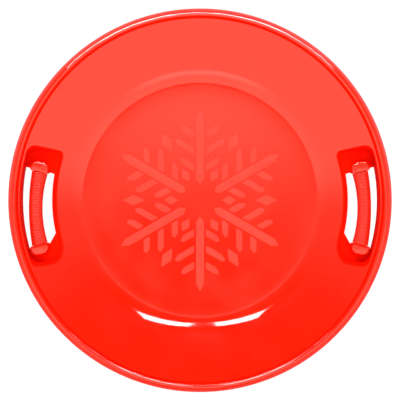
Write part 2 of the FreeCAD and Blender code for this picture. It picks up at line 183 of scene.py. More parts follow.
# Painted shade: the base colour that the grooves between a grip's ribs are darkened towards
GROOVE_PAINTED_SHADE = (0.62, 0.009, 0.003)

# Camera, straight above
CAMERA_LENS = 172.7
CAMERA_SENSOR = 36
CAMERA_PLACE = (0, 0.4 * MM, 3.067)

# Floor; gloss is how bright it is in reflections, bounce how bright it is to soft light
FLOOR_HALF = 20.0
FLOOR_LEVEL = -0.3 * MM
FLOOR_SHADE = 0.16
FLOOR_ROUGHNESS = 0.8
FLOOR_LIFT = 0.9
FLOOR_BOUNCE = 0.6
FLOOR_GLOSS_REACH = (0.2, 0.36)
FLOOR_BOUNCE_REACH = (0.08, 0.26)
FLOOR_REAR_GLOSS = 0.1
FLOOR_FRONT_GLOSS = 0.75
FLOOR_GLOSS_SPLIT = (-0.8, 0.8)

# Studio: brightness by direction. A split, span, band, rise or edge is where one level passes to the next.
STUDIO_TINT = (1, 0.98, 0.76)
STUDIO_LOW = (0.12, 0.24)
STUDIO_LOW_REAR = 0.1
STUDIO_LOW_SIDE = 0.36
STUDIO_LOW_FRONT = 0.33
STUDIO_LOW_REAR_SPLIT = (-1.0, -0.8)
STUDIO_LOW_FRONT_SPLIT = (0.6, 0.82)
STUDIO_SIDE_SPLIT = (-0.3, 0.15)
STUDIO_FRONT_SPLIT = (0.15, 0.8)
STUDIO_REAR_LOW = 0.9
STUDIO_REAR_HIGH = 1.06
STUDIO_REAR_RISE = (0.3, 0.9)
STUDIO_SPOT = 0.75
STUDIO_SPOT_SPAN = (0.78, 0.985)
STUDIO_SPOT_BAND = (0.04, 0.24)
STUDIO_SPOT_RISE = 0.616
STUDIO_SIDE = 0.28
STUDIO_FRONT = 0.02
STUDIO_OVERHEAD_SPLIT = (-0.017, 0.042)
STUDIO_OVERHEAD_REAR = 0.02
STUDIO_OVERHEAD_FRONT = 0.95
STUDIO_OVERHEAD_EDGE = (0.9978, 0.9984)
STUDIO_LEAST_RISE = 0.05  # a panel stands no lower than this
STUDIO_ZENITH_GUARD = 1.0001  # keeps the level part of a direction above nothing
# The panels' corners on the right, in steps aside and ahead for one step up
STUDIO_PANEL = ((0.037, 0.507), (0.110, 0.998), (0.92, 1.915), (0.574, 0.974))
STUDIO_PANEL_SHIFT = -0.02
STUDIO_PANEL_EDGE = 0.007
STUDIO_PANEL_LEVEL = 15
STUDIO_PANEL_FILL = 6

# Lamps; a level is the brightness of the lamp's face
REAR_LAMP_WIDTH = 3.0
REAR_LAMP_HEIGHT = 0.45
REAR_LAMP_DISTANCE = 2.2
REAR_LAMP_RISE = 0.38
REAR_LAMP_LEVEL = 3.0
RIM_LAMP_TURNS = (-36, -18, 0, 18, 36)
RIM_LAMP_LENGTH = 0.1205
RIM_LAMP_WIDTH = 0.025
RIM_LAMP_AHEAD = 0.38
RIM_LAMP_RISE = 0.15
RIM_LAMP_LEVEL = 34
SKY_LAMP_LEVEL = 1.5
SKY_LAMP_ANGLE = math.radians(50)

# Mesh density
SECTORS = 432
WINDOW_FRONT = 26
WINDOW_REAR = -33
WINDOW_INNER_RADIUS = 220 * MM
WINDOW_OUTER_RADIUS = 283.4 * MM
LOWER_WINDOW_OUTER_RADIUS = 285.6 * MM
WINDOW_ROWS = 24
OUTER_FRONT_STEPS = 6
OUTER_REAR_STEPS = 5
ARC_STEPS = WINDOW_FRONT - WINDOW_REAR
OUTER_MIDDLE_STEPS = ARC_STEPS - OUTER_FRONT_STEPS - OUTER_REAR_STEPS
MERGE_DISTANCE = 0.002 * MM
SHARP_ANGLE = math.radians(36)
PROBE = 0.2 * MM  # step by which a face's direction is measured
BASE_RINGS = (0, 10 * MM, 26 * MM, 50 * MM, 80 * MM, 112 * MM, 136 * MM)
# Steps round the crown, heel, groove, bead, crest and edge
UPPER_BEND_STEPS = (8, 20, 6, 10, 10, 8)
LOWER_BEND_STEPS = (4, 12, 5, 4, 4, 5)
# Steps up the side, below the pockets' windows, beside them and above them
UPPER_SIDE_STEPS = (3, WINDOW_ROWS, 1)
LOWER_SIDE_STEPS = (2, WINDOW_ROWS, 1)
RIM_END_STEPS = 8
WALL_LEVELS = 60
POCKET_CORNER_STEPS = 16
POCKET_SIDE_STEPS = 80
OPENING_END_STEPS = 200
OPENING_INNER_STEPS = 300
GUSSET_STEPS = 60
UPPER_STRIP_STEPS = 4
LIP_STEPS = 6
POCKET_WALL_STEPS = 4
FLOOR_FILLET_STEPS = 4
LEDGE_STEPS = 3
UNDERSIDE_SPREAD = (0.3, 0.5, 0.75)  # places of rings from the opening's edge to the tub's fillet
TUB_FILLET_STEPS = 5
TUB_WALL_STEPS = 3
LOWER_STRIP_STEPS = 3
POST_CORNER_STEPS = 10
POST_FLANK_ROWS = 8
POST_FILLET_STEPS = 8
GRIP_BOTTOM_STEPS = 8
GRIP_TOP_STEPS = 12
SPINE_STATIONS = 41
SLEEVE_STATIONS = 313
SCREW_SECTORS = 48
SCREW_RINGS = (0, 0.12, 0.2, 0.28, 0.36, 0.44, 0.5, 0.56, 0.64, 0.76, 0.88, 0.96, 1)  # of the radius
RELIEF_CORNER_STEPS = 4

# Derived places
cone_start_radius = DISC_RADIUS - SIDE_BAND
base_edge_radius = cone_start_radius - HEEL_BAND
base_flat_radius = base_edge_radius - CROWN_BAND
flank_foot_radius = DISC_RADIUS - RIM_EDGE * (1 - math.sin(RIM_FLANK_SLOPE))
flank_top_radius = flank_foot_radius - RIM_FLANK * math.cos(RIM_FLANK_SLOPE)
crest_radius = flank_top_radius - RIM_CREST * math.sin(RIM_FLANK_SLOPE)
crown_bend = CROWN_BAND / math.sin(CROWN_SLOPE)
heel_bend = HEEL_BAND / (math.sin(SIDE_SLOPE) - math.sin(CROWN_SLOPE))
crown_end_height = WALL + crown_bend * (1 - math.cos(CROWN_SLOPE))
cone_start_height = crown_end_height + heel_bend * (math.cos(CROWN_SLOPE) - math.cos(SIDE_SLOPE))
step_top_radius = crest_radius - RIM_BEAD * math.sin(RIM_STEP_SLOPE)
step_foot_radius = step_top_radius - RIM_STEP * math.cos(RIM_STEP_SLOPE)
cone_end_radius = step_foot_radius - RIM_GROOVE * (math.sin(RIM_STEP_SLOPE) - math.sin(SIDE_SLOPE))
cone_end_height = cone_start_height + (cone_end_radius - cone_start_radius) * math.tan(SIDE_SLOPE)
step_foot_height = cone_end_height + RIM_GROOVE * (math.cos(SIDE_SLOPE) - math.cos(RIM_STEP_SLOPE))
step_top_height = step_foot_height + RIM_STEP * math.sin(RIM_STEP_SLOPE)
crest_height = step_top_height + RIM_BEAD * (1 - math.cos(RIM_STEP_SLOPE))
flank_top_height = crest_height - RIM_CREST * (1 - math.cos(RIM_FLANK_SLOPE))
flank_foot_height = flank_top_height - RIM_FLANK * math.sin(RIM_FLANK_SLOPE)
heel_centre = (
    base_edge_radius - heel_bend * math.sin(CROWN_SLOPE),
    crown_end_height + heel_bend * math.cos(CROWN_SLOPE))

pocket_outer_radius = cone_end_radius - POCKET_RIM_STRIP
handle_radius = pocket_outer_radius - FINGER_GAP_OUTER - GRIP_WIDTH_MIDDLE / 2
opening_inner_radius = handle_radius - GRIP_WIDTH_MIDDLE / 2 - FINGER_GAP_INNER
pocket_inner_radius = opening_inner_radius - INNER_LEDGE
handle_centre_x = handle_radius - GRIP_BEND
grip_half_angle = math.asin(GRIP_LENGTH / 2 / GRIP_BEND)
opening_half_angle = grip_half_angle + POST_OVERHANG / GRIP_BEND


def dish_height(radius, depth=0.0):
    """Height of the dish's heel and side, or of the face this deep below them."""
    radius = np.asarray(radius, float)
    bend = heel_bend + depth
    heel_end = heel_centre[0] + bend * math.sin(SIDE_SLOPE)
    heel_end_height = heel_centre[1] - bend * math.cos(SIDE_SLOPE)
    reach = np.clip(radius - heel_centre[0], 0, bend * math.sin(SIDE_SLOPE))
    heel = heel_centre[1] - np.sqrt(bend ** 2 - reach ** 2)
    cone = heel_end_height + (radius - heel_end) * math.tan(SIDE_SLOPE)
    return np.where(radius > heel_end, cone, heel)


pocket_floor = float(dish_height(pocket_inner_radius)) - POCKET_DEPTH
ledge_underside = pocket_floor - WALL
grip_bottom = pocket_floor + GRIP_CLEARANCE
grip_top = grip_bottom + GRIP_HEIGHT
post_top = grip_top + POST_RISE


# Node helpers

class Value:
    """What a node gives. Sums with it are written as usual, and each step of them is one more node."""

    def __init__(self, socket):
        self.socket = socket
        self.tree = socket.id_data

    def __add__(self, other):
        return maths("ADD", self, other)

    def __sub__(self, other):
        return maths("SUBTRACT", self, other)

    def __rsub__(self, other):
        return maths("SUBTRACT", other, self)

    def __mul__(self, other):
        return maths("MULTIPLY", self, other)

    def __truediv__(self, other):
        return maths("DIVIDE", self, other)

    def __lt__(self, other):
        return maths("LESS_THAN", self, other)

    def __gt__(self, other):
        return maths("GREATER_THAN", self, other)

    __radd__ = __add__
    __rmul__ = __mul__


def add_node(tree, kind, inputs=None, **settings):
    """Places a node, with its settings and what each of its inputs holds or is fed by.

    Inputs that share a name are given by number.
    """
    node = tree.nodes.new(kind)
    for name, value in settings.items():
        setattr(node, name, value)
    for key, value in (inputs or {}).items():
        if isinstance(value, Value):
            tree.links.new(value.socket, node.inputs[key])
        else:
            node.inputs[key].default_value = value
    return node


def new_value(tree, kind, inputs=None, output=0, **settings):
    """What a new node gives by its first output, or by another one."""
    return Value(add_node(tree, kind, inputs, **settings).outputs[output])


def new_values(tree, kind, inputs=None, **settings):
    """What a new node gives by each of its outputs, under the output's name."""
    return {socket.name: Value(socket) for socket in add_node(tree, kind, inputs, **settings).outputs}


def maths(operation, *values):
    """One step of arithmetic on values and numbers."""
    tree = next(value.tree for value in values if isinstance(value, Value))
    return new_value(tree, "ShaderNodeMath", dict(enumerate(values)), operation=operation)


def smooth_step(value, low, high):
    """0 below low, 1 above high, and a smooth rise between."""
    inputs = {"Value": value, "From Min": low, "From Max": high}
    return new_value(value.tree, "ShaderNodeMapRange", inputs, interpolation_type="SMOOTHSTEP")


def mix(share, low, high):
    """Low at share 0, high at share 1."""
    return low + share * (high - low)


def geometry_tree(name, **inputs):
    """New geometry tree that takes geometry, a finish and more inputs by kind, and gives geometry."""
    tree = bpy.data.node_groups.new(name, "GeometryNodeTree")
    for kind, labels in {"Geometry": ["Geometry"], **inputs, "Material": ["Finish"]}.items():
        for label in labels:
            tree.interface.new_socket(label, in_out="INPUT", socket_type="NodeSocket" + kind)
    tree.interface.new_socket("Geometry", in_out="OUTPUT", socket_type="NodeSocketGeometry")
    return tree, new_values(tree, "NodeGroupInput")


def point_count(geometry):
    """Number of a mesh's points."""
    return new_value(
        geometry.tree, "GeometryNodeAttributeDomainSize", {"Geometry": geometry}, "Point Count")


def numbered_grid(columns, rows):
    """Grid mesh, with the column and the row of each of its points."""
    grid = new_value(rows.tree, "GeometryNodeMeshGrid", {"Vertices X": columns, "Vertices Y": rows})
    index = new_value(rows.tree, "GeometryNodeInputIndex")
    column = maths("FLOOR", (index + 0.5) / rows)
    return grid, column, index - column * rows


def sampled(geometry, value, index):
    """A vector's value at one point of a mesh."""
    return new_value(
        geometry.tree, "GeometryNodeSampleIndex", {"Geometry": geometry, "Value": value, "Index": index},
        data_type="FLOAT_VECTOR", domain="POINT")


def store(geometry, label, value):
    """Keeps a value on each point under a name."""
    return new_value(
        geometry.tree, "GeometryNodeStoreNamedAttribute",
        {"Geometry": geometry, "Name": label, "Value": value}, data_type="FLOAT", domain="POINT")


def stored(tree, label, kind="FLOAT"):
    """What each point holds under a name."""
    return new_value(tree, "GeometryNodeInputNamedAttribute", {"Name": label}, data_type=kind)


def turned(vector, angle):
    """A vector turned about the upright axis."""
    return new_value(
        vector.tree, "ShaderNodeVectorRotate", {"Vector": vector, "Angle": angle}, rotation_type="Z_AXIS")


def moved(geometry, position):
    """A mesh with each point put in its place."""
    return new_value(
        geometry.tree, "GeometryNodeSetPosition", {"Geometry": geometry, "Position": position})


def welded(geometry):
    """A mesh with its doubled points merged."""
    return new_value(
        geometry.tree, "GeometryNodeMergeByDistance", {"Geometry": geometry, "Distance": MERGE_DISTANCE})


def copies(points, instance, turn):
    """An instance on each point, turned about the upright axis."""
    rotation = new_value(points.tree, "ShaderNodeCombineXYZ", {2: turn})
    return new_value(points.tree, "GeometryNodeInstanceOnPoints", {
        "Points": points, "Instance": instance, "Rotation": rotation})


def finish_tree(geometry, material):
    """Closes a geometry tree with real geometry in the given material."""
    tree = geometry.tree
    real = new_value(tree, "GeometryNodeRealizeInstances", {"Geometry": geometry})
    painted = new_value(tree, "GeometryNodeSetMaterial", {"Geometry": real, "Material": material})
    add_node(tree, "NodeGroupOutput", {0: painted})


def add_object(name, data):
    """New object in the scene."""
    made = bpy.data.objects.new(name, data)
    bpy.context.scene.collection.objects.link(made)
    return made


def run_tree(source, tree, values):
    """Mesh that a geometry tree makes from a source mesh and these named values."""
    holder = add_object("holder", source)
    modifier = holder.modifiers.new("nodes", "NODES")
    modifier.node_group = tree
    for item in tree.interface.items_tree:
        if item.in_out == "INPUT" and item.name in values:
            modifier[item.identifier] = values[item.name]
    depsgraph = bpy.context.evaluated_depsgraph_get()
    mesh = bpy.data.meshes.new_from_object(holder.evaluated_get(depsgraph), depsgraph=depsgraph)
    bpy.data.objects.remove(holder)
    return mesh


# Mesh helpers

def new_mesh(name, points, faces=(), edges=()):
    """Mesh of these points, with faces or edges between them."""
    mesh = bpy.data.meshes.new(name)
    mesh.from_pydata([tuple(map(float, point)) for point in points], list(edges), list(faces))
    return mesh


def loop_faces(rings, count, flip=False):
    """Quads between each closed ring of points and the next."""
    faces = []
    for k in range(rings - 1):
        for i in range(count):
            j = (i + 1) % count
            quad = (k * count + i, k * count + j, (k + 1) * count + j, (k + 1) * count + i)
            faces.append(quad[::-1] if flip else quad)
    return faces


def line_mesh(name, points):
    """Mesh of a line through these points."""
    return new_mesh(name, points, edges=[(i, i + 1) for i in range(len(points) - 1)])


def capped_mesh(name, rings):
    """Closed solid skin through rings of as many points each, with a flat face at both ends."""
    count = len(rings[0])
    faces = loop_faces(len(rings), count)
    faces.append(tuple(range(count)))
    faces.append(tuple(range((len(rings) - 1) * count, len(rings) * count)))
    return new_mesh(name, np.concatenate(rings), faces)


def upright(plan):
    """Points of a section, across and up, as points in the plane y = 0."""
    return np.column_stack([plan[:, 0], np.zeros(len(plan)), plan[:, 1]])


def level_ring(plan, height):
    """Points in plan as a ring at one height."""
    return np.column_stack([plan, np.full(len(plan), height)])


def unit(vectors):
    """Vectors scaled to length 1."""
    return vectors / np.linalg.norm(vectors, axis=-1, keepdims=True)


def from_axis(points):
    """Distance of points from the sled's axis."""
    return np.hypot(points[..., 0], points[..., 1])


def mirrored(points):
    """Points on the other side of the sled's middle."""
    return np.asarray(points) * np.array([-1, 1, 1])


def join(name, meshes):
    """One mesh of several, welded, with its faces turned outwards."""
    form = bmesh.new()
    for mesh in meshes:
        form.from_mesh(mesh)
    bmesh.ops.remove_doubles(form, verts=form.verts, dist=MERGE_DISTANCE)
    bmesh.ops.dissolve_degenerate(form, edges=form.edges, dist=MERGE_DISTANCE / 2)
    bmesh.ops.recalc_face_normals(form, faces=form.faces)
    joined = bpy.data.meshes.new(name)
    form.to_mesh(joined)
    form.free()
    return joined


def piece(name, mesh, material, slot, *nodes):
    """Finished piece of the sled, smooth apart from its real edges, in place of CAD nodes."""
    mesh.name = name
    mesh.materials.clear()
    mesh.materials.append(material)
    mesh.polygons.foreach_set("use_smooth", [True] * len(mesh.polygons))
    mesh.set_sharp_from_angle(angle=SHARP_ANGLE)
    made = add_object(name, mesh)
    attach(made, "root")
    if nodes:
        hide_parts(*nodes)
    return made


def resampled(path, steps):
    """This many even steps along a path of points."""
    path = np.asarray(path, float)
    lengths = np.concatenate([[0], np.cumsum(np.linalg.norm(np.diff(path, axis=0), axis=1))])
    at = np.linspace(0, lengths[-1], steps + 1)
    return np.stack([np.interp(at, lengths, path[:, k]) for k in range(path.shape[1])], axis=1)


def arc_points(centre, start, end, steps=POCKET_CORNER_STEPS):
    """Points on the short arc about a centre, from one point to another."""
    start = np.asarray(start, float) - centre
    end = np.asarray(end, float) - centre
    radius = np.linalg.norm(start)
    first = math.atan2(start[1], start[0])
    turn = math.atan2(end[1], end[0]) - first
    turn = (turn + math.pi) % (2 * math.pi) - math.pi
    angles = first + turn * np.linspace(0, 1, steps + 1)
    return np.stack([np.cos(angles), np.sin(angles)], axis=1) * radius + centre


def rounded_corner(start, corner, end, steps):
    """Circular arc from start to end that is tangent to the lines to a corner, for many corners at once."""
    to_start = start - corner
    to_end = end - corner
    cosine = np.sum(to_start * to_end, axis=-1)
    cosine = cosine / (np.linalg.norm(to_start, axis=-1) * np.linalg.norm(to_end, axis=-1))
    weight = np.sqrt(np.clip((1 - cosine) / 2, 0, 1))[..., None]
    rings = []
    for t in np.linspace(0, 1, steps + 1):
        a, b, c = (1 - t) ** 2, 2 * t * (1 - t) * weight, t ** 2
        rings.append((a * start + b * corner + c * end) / (a + b + c))
    return rings


# Dish

def bend_points(centre, radius, start_slope, end_slope, hollow, steps):
    """Points round a bend of the profile, which is hollow or bulges upwards, from slope to slope."""
    slopes = np.linspace(start_slope, end_slope, steps + 1)
    side = 1 if hollow else -1
    return np.stack([
        centre[0] + side * radius * np.sin(slopes),
        centre[1] - side * radius * np.cos(slopes)], axis=1)


def side_rows(start, end, stops, steps):
    """Points up the straight side, with a row at each stop and even steps between."""
    marks = [start[0]] + stops + [end[0]]
    rows = []
    for low, high, count in zip(marks, marks[1:], steps):
        rows.extend(np.linspace(low, high, count, endpoint=False))
    radii = np.array(rows + [end[0]])
    heights = start[1] + (radii - start[0]) * math.tan(SIDE_SLOPE)
    return np.stack([radii, heights], axis=1)


def dish_profile(depth, flat_radii, steps, stops, side_steps):
    """Profile from the axis to the rim's edge, this deep below the upper face."""
    crown_steps, heel_steps, groove_steps, bead_steps, crest_steps, edge_steps = steps
    groove_centre = (
        cone_end_radius - RIM_GROOVE * math.sin(SIDE_SLOPE),
        cone_end_height + RIM_GROOVE * math.cos(SIDE_SLOPE))
    crown = bend_points(
        (base_flat_radius, WALL + crown_bend), crown_bend + depth, 0, CROWN_SLOPE, True, crown_steps)
    heel = bend_points(heel_centre, heel_bend + depth, CROWN_SLOPE, SIDE_SLOPE, True, heel_steps)
    groove = bend_points(
        groove_centre, RIM_GROOVE + depth, SIDE_SLOPE, RIM_STEP_SLOPE, True, groove_steps)
    bead = bend_points(
        (crest_radius, crest_height - RIM_BEAD), RIM_BEAD - depth, RIM_STEP_SLOPE, 0, False, bead_steps)
    crest = bend_points(
        (crest_radius, crest_height - RIM_CREST), RIM_CREST - depth, 0, -RIM_FLANK_SLOPE, False,
        crest_steps)
    edge_centre = (DISC_RADIUS - RIM_EDGE, flank_foot_height - RIM_EDGE * math.cos(RIM_FLANK_SLOPE))
    edge = bend_points(
        edge_centre, RIM_EDGE - depth, -RIM_FLANK_SLOPE, -math.pi / 2, False, edge_steps)
    flat = [(radius, WALL - depth) for radius in flat_radii]
    side = side_rows(heel[-1], groove[0], stops, side_steps)
    skirt_end = edge[-1] - np.array([0, RIM_SKIRT])
    return np.concatenate([
        flat, crown[:-1], heel[:-1], side[:-1], groove, bead, crest[1:], edge, [skirt_end]])


def closed_profile():
    """Whole profile, out along the upper face, round the rim's end and back below."""
    upper = dish_profile(
        0, BASE_RINGS, UPPER_BEND_STEPS, [WINDOW_INNER_RADIUS, WINDOW_OUTER_RADIUS], UPPER_SIDE_STEPS)
    lower = dish_profile(
        WALL, BASE_RINGS[::2], LOWER_BEND_STEPS,
        [WINDOW_INNER_RADIUS, LOWER_WINDOW_OUTER_RADIUS], LOWER_SIDE_STEPS)
    middle = (upper[-1] + lower[-1]) / 2
    angles = np.linspace(0, math.pi, RIM_END_STEPS + 1)[1:-1]
    rim_end = np.stack([
        middle[0] + WALL / 2 * np.cos(angles), middle[1] - WALL / 2 * np.sin(angles)], axis=1)
    return upper, rim_end, lower


def row_at(profile, radius, height):
    """Number of the profile's row nearest to a radius and height."""
    return int(np.argmin(np.hypot(profile[:, 0] - radius, profile[:, 1] - height)))


def turned_dish_tree():
    """Turns a profile about the axis and leaves a window for each pocket in both faces."""
    tree, given = geometry_tree("turned_dish", Int=[
        "Sectors", "Window Rear", "Window Front",
        "Upper From Row", "Upper To Row", "Lower From Row", "Lower To Row"])
    profile, sectors = given["Geometry"], given["Sectors"]
    grid, sector, row = numbered_grid(sectors + 1, point_count(profile))
    place = sampled(profile, new_value(tree, "GeometryNodeInputPosition"), row)
    named = store(store(grid, "row", row), "sector", sector)
    whole = moved(named, turned(place, sector * (2 * math.pi) / sectors))

    def between(value, low, high):
        """1 between two limits, 0 elsewhere."""
        return (value > given[low]) * (value < given[high])

    # Sector numbers counted from the right and from the left, below 0 to the rear of either
    around = stored(tree, "sector")
    right = around - (around > sectors * 0.75) * sectors
    left = sectors / 2 - around
    in_sector = maths(
        "MAXIMUM", between(right, "Window Rear", "Window Front"),
        between(left, "Window Rear", "Window Front"))
    along = stored(tree, "row")
    in_row = maths(
        "MAXIMUM", between(along, "Upper From Row", "Upper To Row"),
        between(along, "Lower From Row", "Lower To Row"))
    opened = new_value(
        tree, "GeometryNodeDeleteGeometry", {"Geometry": whole, "Selection": in_sector * in_row},
        domain="FACE")
    finish_tree(welded(opened), given["Finish"])
    return tree


# Pockets

def pocket_corner(end, side, reach_out, line, corner):
    """Middle of a pocket's rounded corner, between its end line and its inner or outer arc."""
    slope, offset = line
    offset = offset - end * corner / math.cos(math.atan(slope))
    radius = reach_out - side * corner
    a = 1 + slope ** 2
    b = 2 * slope * offset
    c = offset ** 2 - radius ** 2
    x = (-b + math.sqrt(b ** 2 - 4 * a * c)) / (2 * a)
    return np.array([x, slope * x + offset])


def pocket_outline(height, grow):
    """Pocket's outline at this height, as four sides between the middles of its corners."""

    def reach(draft):
        """How far a drafted wall has come out from its foot."""
        return (grow + (height - pocket_floor) * math.sin(draft)) / math.cos(draft)

    handle_half = GRIP_LENGTH / 2 + POST_DEPTH
    front_y = handle_half + POCKET_FRONT_GAP + reach(POCKET_FRONT_DRAFT) - HANDLE_SETBACK
    rear_y = -handle_half - POCKET_REAR_GAP - reach(POCKET_REAR_DRAFT) - HANDLE_SETBACK
    splay = math.tan(POCKET_FRONT_SPLAY)
    front = (splay, front_y - handle_radius * splay)
    rear = (0.0, rear_y)
    outer = pocket_outer_radius + reach(POCKET_OUTER_DRAFT)
    inner = pocket_inner_radius - reach(POCKET_INNER_DRAFT)

    def corner(end, side, line, radius):
        """Tangent point on the end line, the one on the arc, the middle of the arc and its centre."""
        centre = pocket_corner(end, side, outer if side > 0 else inner, line, radius)
        normal = unit(np.array([-line[0], 1])) * end
        radial = unit(centre) * side
        between = unit(normal + radial)
        return centre + normal * radius, centre + radial * radius, centre + between * radius, centre

    front_outer = corner(1, 1, front, FRONT_OUTER_CORNER + grow)
    front_inner = corner(1, -1, front, FRONT_INNER_CORNER + grow)
    rear_inner = corner(-1, -1, rear, REAR_INNER_CORNER + grow)
    rear_outer = corner(-1, 1, rear, REAR_OUTER_CORNER + grow)

    def end_side(first, last):
        """Line across the pocket's end, with half of the corner at each side of it."""
        return np.concatenate([
            arc_points(first[3], first[2], first[0]), arc_points(last[3], last[0], last[2])])

    def arc_side(first, last):
        """Arc along the pocket, with half of the corner at each end of it."""
        along = arc_points(np.zeros(2), first[1], last[1], POCKET_SIDE_STEPS)
        return np.concatenate([
            arc_points(first[3], first[2], first[1])[:-1], along,
            arc_points(last[3], last[1], last[2])[1:]])

    return (
        end_side(front_outer, front_inner), arc_side(front_inner, rear_inner),
        end_side(rear_inner, rear_outer), arc_side(rear_outer, front_outer))


def meet_circle(angle, radius):
    """Point where a line from the middle of the grip's bend meets a circle about the axis."""
    ahead = handle_centre_x * math.cos(angle) - HANDLE_SETBACK * math.sin(angle)
    centre_squared = handle_centre_x ** 2 + HANDLE_SETBACK ** 2
    distance = -ahead + math.sqrt(ahead ** 2 - centre_squared + radius ** 2)
    return np.array([
        handle_centre_x + distance * math.cos(angle), distance * math.sin(angle) - HANDLE_SETBACK])


def cut_at(path, point):
    """A path's two stretches, before and after its point nearest to this one."""
    middle = int(np.argmin(np.linalg.norm(path - point, axis=1)))
    return np.concatenate([path[:middle], [point]]), np.concatenate([[point], path[middle + 1:]])


opening_corners = {
    (end, side): meet_circle(end * opening_half_angle, radius)
    for end in (1, -1) for side, radius in ((1, pocket_outer_radius), (-1, opening_inner_radius))}


def pocket_ring(height, grow):
    """Closed ring of points round the pocket, with one at each end of the opening."""
    front, inner, rear, outer = pocket_outline(height, grow)
    across = math.hypot(*outer[len(outer) // 2])
    rear_stop = opening_corners[-1, 1] * (across / pocket_outer_radius)
    front_stop = opening_corners[1, 1] * (across / pocket_outer_radius)
    outer_rear, rest = cut_at(outer, rear_stop)
    outer_middle, outer_front = cut_at(rest, front_stop)
    stretches = (
        (front, WINDOW_ROWS), (inner, ARC_STEPS), (rear, WINDOW_ROWS), (outer_rear, OUTER_REAR_STEPS),
        (outer_middle, OUTER_MIDDLE_STEPS), (outer_front, OUTER_FRONT_STEPS))
    return level_ring(np.concatenate([resampled(path, steps)[:-1] for path, steps in stretches]), height)


def opening_ring(height):
    """Ring of the opening's edge, point for point beside the pocket's ring.

    A corner of the floor, the gusset, stays at the rear.
    """
    front_outer, front_inner = opening_corners[1, 1], opening_corners[1, -1]
    rear_outer, rear_inner = opening_corners[-1, 1], opening_corners[-1, -1]
    gusset_end = rear_inner + unit(rear_outer - rear_inner) * GUSSET_ACROSS
    turn = GUSSET_ALONG / opening_inner_radius
    spin = np.array([[math.cos(turn), -math.sin(turn)], [math.sin(turn), math.cos(turn)]])
    gusset_start = spin @ rear_inner
    centre = np.zeros(2)

    def eased(path, corner):
        """The path without what lies close to a corner."""
        return path[np.linalg.norm(path - corner, axis=1) > OPENING_CORNER_CUT]

    front = resampled([front_outer, front_inner], OPENING_END_STEPS)
    inner = np.concatenate([
        arc_points(centre, front_inner, gusset_start, OPENING_INNER_STEPS),
        resampled([gusset_start, gusset_end], GUSSET_STEPS)])
    rear = resampled([gusset_end, rear_outer], OPENING_END_STEPS)
    front = eased(front, front_inner)
    inner = eased(eased(inner, front_inner), gusset_end)
    rear = eased(rear, gusset_end)
    front_end = (front[-1] + inner[0]) / 2
    rear_start = (inner[-1] + rear[0]) / 2
    front = np.concatenate([front, [front_end]])
    inner = np.concatenate([[front_end], inner, [rear_start]])
    rear = np.concatenate([[rear_start], rear])
    front = resampled(front, OUTER_FRONT_STEPS + WINDOW_ROWS)
    rear = resampled(rear, WINDOW_ROWS + OUTER_REAR_STEPS)
    outer = arc_points(centre, rear_outer, front_outer, OUTER_MIDDLE_STEPS)
    inner = resampled(inner, ARC_STEPS)
    plan = np.concatenate([
        front[OUTER_FRONT_STEPS:-1], inner[:-1], rear[:-1], outer[:-1], front[:OUTER_FRONT_STEPS]])
    return level_ring(plan, height)


def at_opening():
    """True for the points of a ring where the opening runs along the pocket's outer wall."""
    start = WINDOW_ROWS + ARC_STEPS + WINDOW_ROWS + OUTER_REAR_STEPS
    count = 2 * (WINDOW_ROWS + ARC_STEPS)
    numbers = np.arange(count)
    return (numbers >= start) & (numbers <= count - OUTER_FRONT_STEPS)


def window_ring(inner_radius, outer_radius, depth):
    """Edge of the window that the turned dish leaves for a pocket."""
    step = 2 * math.pi / SECTORS
    angles = np.arange(WINDOW_REAR, WINDOW_FRONT + 1) * step
    radii = np.linspace(inner_radius, outer_radius, WINDOW_ROWS + 1)
    front = [(radius, angles[-1]) for radius in radii[::-1]]
    inner = [(inner_radius, angle) for angle in angles[::-1]]
    rear = [(radius, angles[0]) for radius in radii]
    outer = [(outer_radius, angle) for angle in angles]
    polar = np.array(front[:-1] + inner[:-1] + rear[:-1] + outer[:-1])
    return polar_points(polar, depth)


def polar_points(polar, depth):
    """Points on the dish's upper face, or this deep below it, from radii and angles."""
    radius, angle = polar[:, 0], polar[:, 1]
    return np.column_stack([
        radius * np.cos(angle), radius * np.sin(angle), dish_height(radius, depth)])


def to_polar(points):
    """Radii and angles of points in plan."""
    return np.column_stack([from_axis(points), np.arctan2(points[:, 1], points[:, 0])])


def rings_between(start, end, steps):
    """Rings at even steps from one ring to another, without the first."""
    return [start + (end - start) * k / steps for k in range(1, steps + 1)]


def dish_rings(edge, lip, depth, steps):
    """Rings on the dish's face between a window's edge and a pocket's lip, ends left out."""
    polar_rings = rings_between(to_polar(edge), to_polar(lip), steps)[:-1]
    return [polar_points(polar, depth) for polar in polar_rings]


def fillet_reach(first, second, radius):
    """Distance from each corner, along two unit ways out of it, to where a fillet between them starts."""
    half_angle = np.arccos(np.sum(first * second, axis=1)) / 2
    return (radius / np.tan(half_angle))[:, None]


